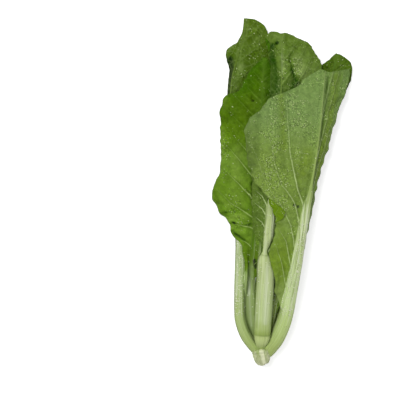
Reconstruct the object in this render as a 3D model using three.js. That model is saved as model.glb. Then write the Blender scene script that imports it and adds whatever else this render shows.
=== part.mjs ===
// A head of mustard greens, cut off above the root and laid down on its side.
//
// The head is a short stem base with ten leaves growing from it: four outer leaves round the
// front, three behind, and the young leaves between them. Each leaf is one piece, a
// fleshy petiole that runs on as the midrib of a thin blade. Every leaf is lofted from
// cross-sections along its midrib: the rib bulges from the outer (lower) face of the leaf, and a
// blade half on each side leans and curls at its own angle.
//
// Millimetres, +Z up. The leaves grow towards +Y. While the head is being built, x = y = 0 is
// the growing point on top of the stem base and z = 0 is the table. The finished head is moved
// so that its origin is the middle of its footprint on the table.

import * as THREE from "three";

// Driving dimensions of the stem base.
const STEM_CENTRE = [-0.8, -1.6, 12.5];
const STEM_TURN = 9; // degrees that the cut end swings to the right
const STEM_PROFILE = [
  [0, -12.2], [4.4, -12.2], [6.2, -9.8], [7.4, -6.4], [8.1, -2], [8.4, 1.2], [7.8, 2.4], [0, 2.8],
]; // radius, distance along the axis
const STEM_SIDES = 20;

// Driving dimensions that all leaves share.
const BLADE_THICKNESS = 0.8;
const RIB_FALL_OFF = 1.3; // how fast the rib narrows towards the tip
const NECK_SHARE = 0.6; // half-width left where the petiole meets the stem base
const NECK_LENGTH = 13; // and how soon it reaches its full width
const RIB_DEPTH_RATIO = 0.8; // rib depth over its half-width
const RIB_LIP = 0.25; // blade left beside the rib where there is no blade yet
const WING_STEPS = 12; // integration steps across one blade half

// Where the points of a cross-section sit: shares of the rib's half-width, then of the blade.
const RIB_POINTS_OUTER = [0, 0.55, 1];
const RIB_POINTS_INNER = [0, 1];
const BLADE_POINTS = [0.5, 1];

const OUTER_FACE_GREEN = 0x748b46;
const INNER_FACE_GREEN = 0x4c7612;
const STEM_GREEN = 0xbcc992;

// One entry for each leaf.
//   faceUp   "outer" shows the lower face of the leaf upwards, "inner" the upper face
//   midrib   points from the foot of the petiole to the tip of the blade
//   rib      half-width of the petiole at its foot, and of the midrib at the tip
//   width    half-width of the blade on each side, as [share of the midrib, mm]
//   lean     angle of each blade half above the level, as [share of the midrib, degrees]
//   curl     how much further each half bends between the rib and the margin, in degrees
const LEAVES = [
  {
    name: "outer_leaf_right",
    faceUp: "outer",
    midrib: [
      [7.6, 2.6, 13.4], [13.4, 11.5, 15.6], [19.8, 28, 18.5], [25.2, 52, 21.5], [30.6, 80, 24],
      [35.6, 108, 26], [40.8, 138, 27.5], [46.4, 170, 28.5], [50.6, 200, 28.5],
      [53.8, 230, 26.5], [56.3, 253.5, 23],
    ],
    rib: { foot: 6.4, tip: 0.5 },
    width: {
      left: [
        [0.11, 0], [0.136, 6], [0.17, 10.5], [0.226, 16], [0.276, 18], [0.313, 26], [0.34, 29],
        [0.374, 28], [0.407, 25], [0.456, 26.5], [0.522, 36], [0.584, 53], [0.645, 60],
        [0.753, 66.5], [0.789, 65], [0.849, 54.5], [0.882, 48], [0.93, 27], [0.968, 18.5],
        [1, 6],
      ],
      right: [
        [0.2, 0], [0.4, 8], [0.55, 10], [0.65, 12.5], [0.73, 15.5], [0.83, 18], [0.89, 21.5],
        [0.95, 24.5], [0.985, 27], [1, 25.5],
      ],
    },
    lean: {
      left: [[0, 12], [0.33, 16.2], [0.5, 13.4], [0.65, 9], [0.85, 8], [1, 2]],
      right: [[0, -78], [0.55, -74], [0.7, -50], [0.85, -36], [1, -22]],
    },
    curl: { left: -14, right: -4 },
  },
  {
    name: "outer_leaf_front",
    faceUp: "outer",
    midrib: [
      [-1.4, 2.4, 19.6], [-0.5, 13, 21.3], [0.2, 27, 21.6], [2, 55, 21.8], [4.2, 88, 21.9],
      [6.5, 122, 22], [9.8, 156, 22], [13, 190, 22], [15.6, 222, 21.6], [17.4, 254, 20.4],
      [16.8, 289.5, 18],
    ],
    rib: { foot: 7.8, tip: 0.5 },
    width: {
      left: [
        [0.3, 0], [0.33, 5], [0.352, 11.4], [0.379, 15], [0.425, 16.5], [0.526, 19], [0.65, 17],
        [0.75, 11], [0.8, 9.8], [0.9, 10.6], [0.95, 9.4], [0.975, 12], [0.99, 14], [1, 9],
      ],
      right: [
        [0.28, 0], [0.34, 8], [0.42, 15], [0.5, 24], [0.62, 32], [0.75, 38], [0.85, 39],
        [0.903, 37], [0.941, 30.5], [0.967, 25.5], [0.987, 19.5], [1, 13],
      ],
    },
    lean: {
      left: [[0, -5], [0.3, -8], [0.7, -8], [1, -5]],
      right: [[0, -6], [0.4, -10], [0.7, -12], [0.9, -6], [1, -4]],
    },
    curl: { left: -8, right: -8 },
  },
  {
    name: "outer_leaf_left",
    faceUp: "outer",
    midrib: [
      [-8, 3.2, 12.6], [-14.4, 12.4, 13.4], [-18.8, 23.2, 13.6], [-20.5, 33.3, 13.2],
      [-20.7, 52, 12], [-20.2, 78, 8.8], [-20.6, 104, 6.4], [-24.3, 138, 4.8], [-27, 172, 4.4],
      [-28.8, 212, 4.8], [-27.6, 244.5, 6], [-23, 265, 7.3], [-19, 279.5, 7.8],
      [-15.9, 291.5, 8.4], [-14.2, 303.5, 9.2],
    ],
    rib: { foot: 4.7, tip: 0.5 },
    width: {
      left: [
        [0.3, 0], [0.4, 8], [0.55, 10], [0.7, 8], [0.77, 3], [0.82, 3.2], [0.85, 6],
        [0.87, 9], [0.895, 11], [0.91, 8], [0.93, 3.5], [0.96, 1.8], [1, 2],
      ],
      right: [
        [0.28, 0], [0.4, 13], [0.5, 20], [0.6, 25], [0.7, 28], [0.82, 31.5], [0.9, 30],
        [0.945, 24], [0.971, 20.5], [0.985, 17], [0.994, 13], [1, 8],
      ],
    },
    lean: {
      left: [[0, -6], [0.4, -20], [0.7, -26], [0.85, -16], [1, -10]],
      right: [[0, 0], [0.5, -3], [0.8, 1], [1, 5]],
    },
    curl: { left: -6, right: 0 },
  },
  {
    name: "back_leaf_left",
    faceUp: "inner",
    midrib: [
      [-4.6, 2.2, 9.6], [-9.4, 16, 9.3], [-10.8, 34, 9.2], [-11.2, 62, 10], [-8.6, 92, 11.4],
      [-5.6, 122, 12.2], [-3.2, 152, 12.6], [-1.6, 182, 12.8], [-0.6, 212, 12.8],
      [0.6, 240, 12.6], [2, 267, 11.8],
    ],
    rib: { foot: 4.6, tip: 0.5 },
    width: {
      left: [
        [0.2, 0], [0.267, 4.6], [0.309, 7], [0.35, 9], [0.372, 17], [0.396, 22], [0.42, 23],
        [0.45, 32], [0.482, 38], [0.508, 41.5], [0.531, 42.4], [0.557, 40], [0.586, 37],
        [0.65, 36], [0.778, 38], [0.849, 36.5], [0.87, 30], [0.883, 22], [0.909, 18],
        [0.942, 14], [0.97, 8.5], [1, 2],
      ],
      right: [
        [0.24, 0], [0.34, 7], [0.45, 13], [0.6, 19], [0.75, 20], [0.88, 15], [0.96, 9], [1, 3],
      ],
    },
    lean: {
      left: [[0, 3], [0.4, 6], [0.7, 0], [1, 4]],
      right: [[0, 0], [0.4, -3], [1, -2]],
    },
    curl: { left: -12, right: 3 },
  },
  {
    name: "back_leaf_right",
    faceUp: "inner",
    midrib: [
      [4.9, 2.9, 9.6], [9.6, 16, 9.3], [12.4, 30, 9.2], [19, 60, 8.6], [26.4, 94, 7.4],
      [34.4, 130, 5.8], [43, 166, 4.4], [52, 202, 3.8], [61, 237, 5.2], [69.5, 271, 8.5],
    ],
    rib: { foot: 4.8, tip: 0.5 },
    width: {
      left: [
        [0.24, 0], [0.4, 11], [0.55, 21], [0.7, 26], [0.82, 25], [0.9, 19], [0.949, 11.3],
        [0.985, 4.5], [1, 1.5],
      ],
      right: [
        [0.24, 0], [0.4, 6], [0.55, 8], [0.7, 12], [0.82, 14.5], [0.9, 17.5], [0.939, 18.5],
        [0.964, 17], [0.982, 14], [0.992, 9], [1, 3],
      ],
    },
    lean: { left: [[0, 0], [1, 4]], right: [[0, -4], [0.7, -10], [0.9, -6], [1, 2]] },
    curl: { left: 4, right: -6 },
  },
  {
    name: "back_leaf_middle",
    faceUp: "inner",
    midrib: [
      [0, 2.4, 5.5], [0.2, 20, 4.4], [0.6, 45, 3.7], [1.6, 85, 2.6], [3, 125, 1.7],
      [5, 165, 1], [7.2, 203, 0.5], [9, 238, 0.4],
    ],
    rib: { foot: 6, tip: 0.5 },
    width: {
      left: [[0.2, 0], [0.35, 9], [0.5, 18], [0.65, 24], [0.8, 24], [0.9, 18], [0.97, 9], [1, 2]],
      right: [[0.2, 0], [0.35, 9], [0.5, 17], [0.65, 23], [0.8, 24], [0.9, 18], [0.97, 9], [1, 2]],
    },
    lean: { left: [[0, 0], [0.3, -3], [1, -1]], right: [[0, 0], [0.3, -3], [1, -1]] },
    curl: { left: -3, right: -3 },
  },
  {
    name: "inner_leaf_right",
    faceUp: "inner",
    midrib: [
      [3.4, 6.5, 12.4], [5, 14, 12.9], [9, 30, 13.6], [13.8, 58, 14], [19.6, 90, 14.2],
      [27, 126, 13.8], [36, 166, 13],
    ],
    rib: { foot: 2.8, tip: 0.4 },
    width: {
      left: [[0.1, 0], [0.25, 4.5], [0.5, 9], [0.75, 13], [0.9, 9], [1, 1]],
      right: [[0.1, 0], [0.25, 5.5], [0.5, 10], [0.75, 13], [0.9, 9], [1, 1]],
    },
    lean: { left: [[0, 4], [1, 2]], right: [[0, 4], [1, 0]] },
    curl: { left: 4, right: 4 },
  },
  {
    name: "inner_leaf_left",
    faceUp: "inner",
    midrib: [
      [-2.8, 9, 13.9], [-4.4, 30, 13.9], [-3.8, 58, 14], [-2.2, 90, 14.6], [-0.2, 126, 15],
      [1.2, 156, 15],
    ],
    rib: { foot: 2.8, tip: 0.4 },
    width: {
      left: [[0.1, 0], [0.3, 3], [0.5, 5], [0.75, 8], [0.9, 6], [1, 1]],
      right: [[0.1, 0], [0.3, 4], [0.5, 7], [0.75, 10], [0.9, 8], [1, 1]],
    },
    lean: { left: [[0, 4], [1, 2]], right: [[0, 4], [1, 2]] },
    curl: { left: 4, right: 4 },
  },
  {
    name: "heart_leaf_front",
    faceUp: "outer",
    midrib: [[-0.6, 6, 16.4], [0, 26, 17.2], [1.6, 46, 17.6], [4, 68, 17.4]],
    rib: { foot: 2, tip: 0.4 },
    width: {
      left: [[0.08, 0], [0.3, 3.6], [0.65, 6], [0.88, 4], [1, 1]],
      right: [[0.08, 0], [0.3, 3.6], [0.65, 6], [0.88, 4], [1, 1]],
    },
    lean: { left: [[0, -3], [1, -3]], right: [[0, -3], [1, -3]] },
    curl: { left: -4, right: -4 },
  },
  {
    name: "heart_leaf_back",
    faceUp: "inner",
    midrib: [[0.2, 9.5, 10.1], [0.8, 24, 10.5], [1.4, 40, 10.9], [2.4, 56, 10.9]],
    rib: { foot: 1.6, tip: 0.4 },
    width: {
      left: [[0.08, 0], [0.35, 3], [0.7, 4], [0.9, 2.6], [1, 1]],
      right: [[0.08, 0], [0.35, 3], [0.7, 4], [0.9, 2.6], [1, 1]],
    },
    lean: { left: [[0, 2], [1, 2]], right: [[0, 2], [1, 2]] },
    curl: { left: 2, right: 2 },
  },
];

const UP = new THREE.Vector3(0, 0, 1);
const STATION_SPACING = 10; // distance between cross-sections along a leaf
const STATIONS_AT_TIP = [0.985]; // an extra one where the blade rounds off

// A smooth curve through [share, value] knots, monotone between them, level outside them.
function profile(knots) {
  const slope = knots.slice(1).map(([x, y], i) => (y - knots[i][1]) / (x - knots[i][0]));
  const tangent = knots.map((_, i) => {
    if (i === 0 || i === knots.length - 1) return slope[Math.min(i, slope.length - 1)];
    const [before, after] = [slope[i - 1], slope[i]];
    return before * after <= 0 ? 0 : (2 * before * after) / (before + after);
  });
  return (x) => {
    if (x <= knots[0][0]) return knots[0][1];
    if (x >= knots.at(-1)[0]) return knots.at(-1)[1];
    const i = knots.findIndex(([knotX]) => knotX > x) - 1;
    const [x0, y0] = knots[i];
    const [x1, y1] = knots[i + 1];
    const span = x1 - x0;
    const t = (x - x0) / span;
    const rise = t * t * (3 - 2 * t);
    return (
      y0 + (y1 - y0) * rise +
      span * t * (1 - t) * (tangent[i] * (1 - t) - tangent[i + 1] * t)
    );
  };
}

// The rib's half-width at a share of the midrib's length. It has a neck at the foot.
function ribHalfWidth(leaf, share, length) {
  const { foot, tip } = leaf.rib;
  const neck = THREE.MathUtils.smoothstep(share * length, -NECK_LENGTH / 2, NECK_LENGTH);
  return (tip + (foot - tip) * (1 - share) ** RIB_FALL_OFF) * (NECK_SHARE + (1 - NECK_SHARE) * neck);
}

function midribCurve(leaf) {
  const points = leaf.midrib.map((point) => new THREE.Vector3(...point));
  return new THREE.CatmullRomCurve3(points, false, "catmullrom", 0.5);
}

// One blade half in a cross-section: the point and the direction at a distance from the midrib.
// The half starts level over the midrib, leans by the edge of the rib, and then curls.
function wingPoint(distance, halfWidth, rib, lean, curl) {
  const angleAt = (w) => lean * Math.min(1, w / rib) + (curl * w) / halfWidth;
  let across = 0;
  let up = 0;
  const step = distance / WING_STEPS;
  for (let i = 0; i < WING_STEPS; i++) {
    const angle = angleAt((i + 0.5) * step);
    across += Math.cos(angle) * step;
    up += Math.sin(angle) * step;
  }
  return { across, up, angle: angleAt(distance) };
}

// The closed ring of points round a leaf at one share of its midrib.
function crossSection(leaf, curves, share) {
  const centre = curves.midrib.getPointAt(share);
  const along = curves.midrib.getTangentAt(share);
  const right = new THREE.Vector3().crossVectors(along, UP).normalize();
  const up = new THREE.Vector3().crossVectors(right, along);
  const outward = leaf.faceUp === "outer" ? 1 : -1; // the way the outer face looks
  const rib = ribHalfWidth(leaf, share, curves.midrib.getLength());
  const depth = RIB_DEPTH_RATIO * rib;

  const surfacePoint = (side, distance, halfWidth, face) => {
    const lean = THREE.MathUtils.degToRad(curves.lean[side](share));
    const curl = THREE.MathUtils.degToRad(leaf.curl[side]);
    const wing = wingPoint(distance, halfWidth, rib, lean, curl);
    const sideways = side === "right" ? 1 : -1;
    const bulge = face === outward ? depth * Math.sqrt(Math.max(0, 1 - (distance / rib) ** 2)) : 0;
    const offset = face * (BLADE_THICKNESS / 2 + bulge);
    const point = centre
      .clone()
      .addScaledVector(right, sideways * wing.across)
      .addScaledVector(up, wing.up);
    point.z = Math.max(point.z, BLADE_THICKNESS / 2); // the table holds the blade up
    point
      .addScaledVector(right, -sideways * Math.sin(wing.angle) * offset)
      .addScaledVector(up, Math.cos(wing.angle) * offset);
    point.z = Math.max(point.z, 0); // and presses the rib flat
    return point;
  };

  const faceRow = (face) => {
    const ribPoints = face === outward ? RIB_POINTS_OUTER : RIB_POINTS_INNER;
    const half = (side) => {
      const halfWidth = Math.max(curves.width[side](share), rib + RIB_LIP);
      const onRib = ribPoints.map((p) => p * rib);
      const onBlade = BLADE_POINTS.map((p) => rib + p * (halfWidth - rib));
      return [...onRib, ...onBlade].map((d) => surfacePoint(side, d, halfWidth, face));
    };
    return [...half("left").reverse(), ...half("right").slice(1)];
  };

  return [...faceRow(1), ...faceRow(-1).reverse()];
}

// A closed solid through a row of rings, with a fan over each end.
function loft(rings) {
  const size = rings[0].length;
  const positions = rings.flat().flatMap((p) => p.toArray());
  const index = [];
  for (let i = 0; i < rings.length - 1; i++) {
    for (let j = 0; j < size; j++) {
      const a = i * size + j;
      const b = i * size + ((j + 1) % size);
      index.push(a, b, a + size, b, b + size, a + size);
    }
  }
  for (const [row, flip] of [[0, false], [rings.length - 1, true]]) {
    const middle = rings[row].reduce((sum, p) => sum.add(p), new THREE.Vector3()).divideScalar(size);
    const hub = positions.push(...middle.toArray()) / 3 - 1;
    for (let j = 0; j < size; j++) {
      const a = row * size + j;
      const b = row * size + ((j + 1) % size);
      index.push(...(flip ? [hub, a, b] : [hub, b, a]));
    }
  }
  const geometry = new THREE.BufferGeometry();
  geometry.setAttribute("position", new THREE.Float32BufferAttribute(positions, 3));
  geometry.setIndex(index);
  geometry.computeVertexNormals();
  return geometry;
}

// A leaf as a mesh that is placed by the foot of its petiole.
function leafMesh(leaf) {
  const curves = {
    midrib: midribCurve(leaf),
    width: { left: profile(leaf.width.left), right: profile(leaf.width.right) },
    lean: { left: profile(leaf.lean.left), right: profile(leaf.lean.right) },
  };
  const spans = Math.round(curves.midrib.getLength() / STATION_SPACING);
  const shares = Array.from({ length: spans + 1 }, (_, i) => i / spans)
    .concat(STATIONS_AT_TIP)
    .sort((a, b) => a - b);
  const rings = shares.map((share) => crossSection(leaf, curves, share));
  const foot = curves.midrib.getPointAt(0);
  rings.flat().forEach((p) => p.sub(foot));

  const green = leaf.faceUp === "outer" ? OUTER_FACE_GREEN : INNER_FACE_GREEN;
  const material = new THREE.MeshStandardMaterial({
    name: leaf.name,
    color: green,
    roughness: 0.55,
    metalness: 0,
    side: THREE.DoubleSide,
  });
  const mesh = new THREE.Mesh(loft(rings), material);
  mesh.name = leaf.name;
  mesh.position.copy(foot);
  return mesh;
}

// The stem base: a squat turned body with its cut end towards -Y.
function stemBaseMesh() {
  const profilePoints = STEM_PROFILE.map(([radius, along]) => new THREE.Vector2(radius, along));
  const material = new THREE.MeshStandardMaterial({
    name: "stem_base",
    color: STEM_GREEN,
    roughness: 0.6,
    metalness: 0,
  });
  const mesh = new THREE.Mesh(new THREE.LatheGeometry(profilePoints, STEM_SIDES), material);
  mesh.name = "stem_base";
  mesh.position.set(...STEM_CENTRE);
  mesh.rotation.z = THREE.MathUtils.degToRad(STEM_TURN);
  return mesh;
}

const head = new THREE.Group();
head.name = "mustard_greens_head";
head.add(stemBaseMesh());
LEAVES.forEach((leaf) => head.add(leafMesh(leaf)));

// Move the origin to the middle of the footprint.
const box = new THREE.Box3().setFromObject(head, true);
const middle = box.getCenter(new THREE.Vector3());
head.position.set(-middle.x, -middle.y, -box.min.z);

export default head;
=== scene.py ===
"""The looks of a head of mustard greens that lies on its side: ten leaves round a short stem base.

Every leaf is a grid of points along its midrib and across its blade, with its own veins, folds,
margin and thickness. Distances inside this script are millimetres, in the frame in which the
leaves are described: x = y = 0 is the growing point, z = 0 the table, +Y the way the leaves grow.
A place on a leaf is (x, w): x millimetres along the midrib from its foot and w across the blade,
with the left side negative. A share is a place along the midrib as a part of its length.
"""

import math

import bpy
import numpy as np
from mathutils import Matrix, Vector


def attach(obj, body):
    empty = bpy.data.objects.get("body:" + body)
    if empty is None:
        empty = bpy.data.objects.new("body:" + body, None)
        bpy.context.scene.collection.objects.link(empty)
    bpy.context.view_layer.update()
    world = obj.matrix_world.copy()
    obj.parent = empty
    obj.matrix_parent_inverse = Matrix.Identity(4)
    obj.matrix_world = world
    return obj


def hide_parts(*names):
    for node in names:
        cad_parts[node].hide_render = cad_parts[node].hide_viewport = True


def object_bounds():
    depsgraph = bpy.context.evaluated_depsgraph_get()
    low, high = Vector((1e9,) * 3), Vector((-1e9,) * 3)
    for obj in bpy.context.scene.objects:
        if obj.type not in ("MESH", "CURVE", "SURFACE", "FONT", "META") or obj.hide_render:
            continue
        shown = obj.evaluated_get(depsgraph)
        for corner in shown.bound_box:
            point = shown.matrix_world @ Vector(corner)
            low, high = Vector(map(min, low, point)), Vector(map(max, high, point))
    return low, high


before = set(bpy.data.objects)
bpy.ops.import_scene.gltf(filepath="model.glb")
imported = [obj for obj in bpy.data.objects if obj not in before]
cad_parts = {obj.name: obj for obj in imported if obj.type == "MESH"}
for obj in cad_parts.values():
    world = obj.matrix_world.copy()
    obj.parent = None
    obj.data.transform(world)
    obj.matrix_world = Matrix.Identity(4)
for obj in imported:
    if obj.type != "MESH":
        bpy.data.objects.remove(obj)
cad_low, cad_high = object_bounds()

MM = 0.001
TURN = 2 * math.pi
HEAD_SHIFT = np.array([-18.7792, -144.7359, 0.0])  # from the leaves' frame to the frame of the part
SPACING = 0.85  # between grid points
BLADE_HALF = 0.24  # half the thickness of a blade
STALK_HALF = 0.55  # added to that on the bare petiole
RIB_FALL_OFF = 1.3  # how fast a rib narrows towards the tip
RIB_LIP = 0.25  # how far a bare petiole reaches beyond its rib
RIB_DEPTH = 0.8  # of a rib's half-width
VEIN_HEIGHT = 0.42
TEETH = ((1, 0.34, 5.2), (5, 0.3, 13))  # of the margins: seed step, height, wavelength
TEETH_MOST = 0.7
FOLD_FINE = (-0.6, 2.6)  # where the points lie closer together, from the fold of a margin
TIP_ZONE = 16  # how far from its end a leaf's tip is shaped
CREASE_ENDS = 0.35  # the height of a crease at its ends, as a part of the height in the middle
PRESS = np.array([1.5, 1.5, 2.5])  # how far inside the box the pressing of points starts
DEFAULT_NECK = [(-8, 0.5), (0, 0.6), (13, 1)]
LEVEL = [(0, 1), (1, 1)]
NOTHING = [(0, 0), (1, 0)]


# ---------------------------------------------------------------- curves and smooth functions


def smooth(low, high, value):
    t = np.clip((value - low) / (high - low), 0, 1)
    return t * t * (3 - 2 * t)


def profile(knots):
    """A monotone cubic through [position, value] knots, level outside them."""
    x, y = np.array(knots, float).T
    slope = np.diff(y) / np.diff(x)
    tangent = np.zeros(len(x))
    tangent[0], tangent[-1] = slope[0], slope[-1]
    same = slope[:-1] * slope[1:] > 0
    with np.errstate(divide="ignore", invalid="ignore"):
        mean = 2 * slope[:-1] * slope[1:] / (slope[:-1] + slope[1:])
    tangent[1:-1] = np.where(same, mean, 0)

    def at(position):
        p = np.clip(position, x[0], x[-1])
        i = np.clip(np.searchsorted(x, p, side="right") - 1, 0, len(x) - 2)
        span = x[i + 1] - x[i]
        t = (p - x[i]) / span
        rise = t * t * (3 - 2 * t)
        bend = span * t * (1 - t) * (tangent[i] * (1 - t) - tangent[i + 1] * t)
        return y[i] + (y[i + 1] - y[i]) * rise + bend

    return at


def spine(points, steps=900):
    """Points along a Catmull-Rom curve, and their distances from its start."""
    p = np.array(points, float)
    p = np.vstack([2 * p[0] - p[1], p, 2 * p[-1] - p[-2]])
    spans = len(p) - 3
    parts = []
    for i in range(spans):
        t = np.linspace(0, 1, steps // spans + 1)[(i > 0) :, None]
        a, b, c, d = p[i : i + 4]
        va, vb = (c - a) / 2, (d - b) / 2
        cubic, square = 2 * b - 2 * c + va + vb, 3 * c - 3 * b - 2 * va - vb
        parts.append(cubic * t**3 + square * t**2 + va * t + b)
    curve = np.vstack(parts)
    return curve, np.r_[0, np.cumsum(np.linalg.norm(np.diff(curve, axis=0), axis=1))]


def ripple(seed, x, w, wavelength, waves=7):
    """Seeded smooth noise over a leaf, mostly within -1 to 1."""
    rng = np.random.default_rng(seed)
    total = np.zeros(np.broadcast(x, w).shape)
    for _ in range(waves):
        turn, phase = rng.uniform(0, 2 * math.pi, 2)
        k = 2 * math.pi / (wavelength * rng.uniform(0.7, 1.5))
        total += np.sin(k * (x * math.cos(turn) + w * math.sin(turn)) + phase)
    return total / math.sqrt(waves)


def off_segment(x, w, x0, w0, x1, w1):
    """The distance from a segment on the leaf, and how far along it the nearest point is."""
    run = np.array([x1 - x0, w1 - w0], float)
    t = np.clip(((x - x0) * run[0] + (w - w0) * run[1]) / (run @ run), 0, 1)
    return np.hypot(x - x0 - t * run[0], w - w0 - t * run[1]), t


def bulk(place, start, stop):
    """1 in the middle of a stretch, falling smoothly to 0 at its ends."""
    middle, half = (start + stop) / 2, (stop - start) / 2
    return smooth(0, 1, 1 - np.abs((place - middle) / half)) ** 0.7


def spread(edges, density, count):
    """count + 1 distances from 0 to the last edge, closer together where the density is high."""
    total = np.r_[0, np.cumsum((density[1:] + density[:-1]) / 2 * np.diff(edges))]
    return np.interp(np.linspace(0, total[-1], count + 1), total, edges)


# ---------------------------------------------------------------- the leaves


def pinnate(start, stop, step, slope, bend=0.0):
    """Side veins as [(distance from the midrib, distance along it)], from a regular rule."""
    return [
        [(w, x + slope * w + bend * w * w) for w in (0, 10, 20, 35, 55, 75)]
        for x in np.arange(start, stop, step)
    ]


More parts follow.
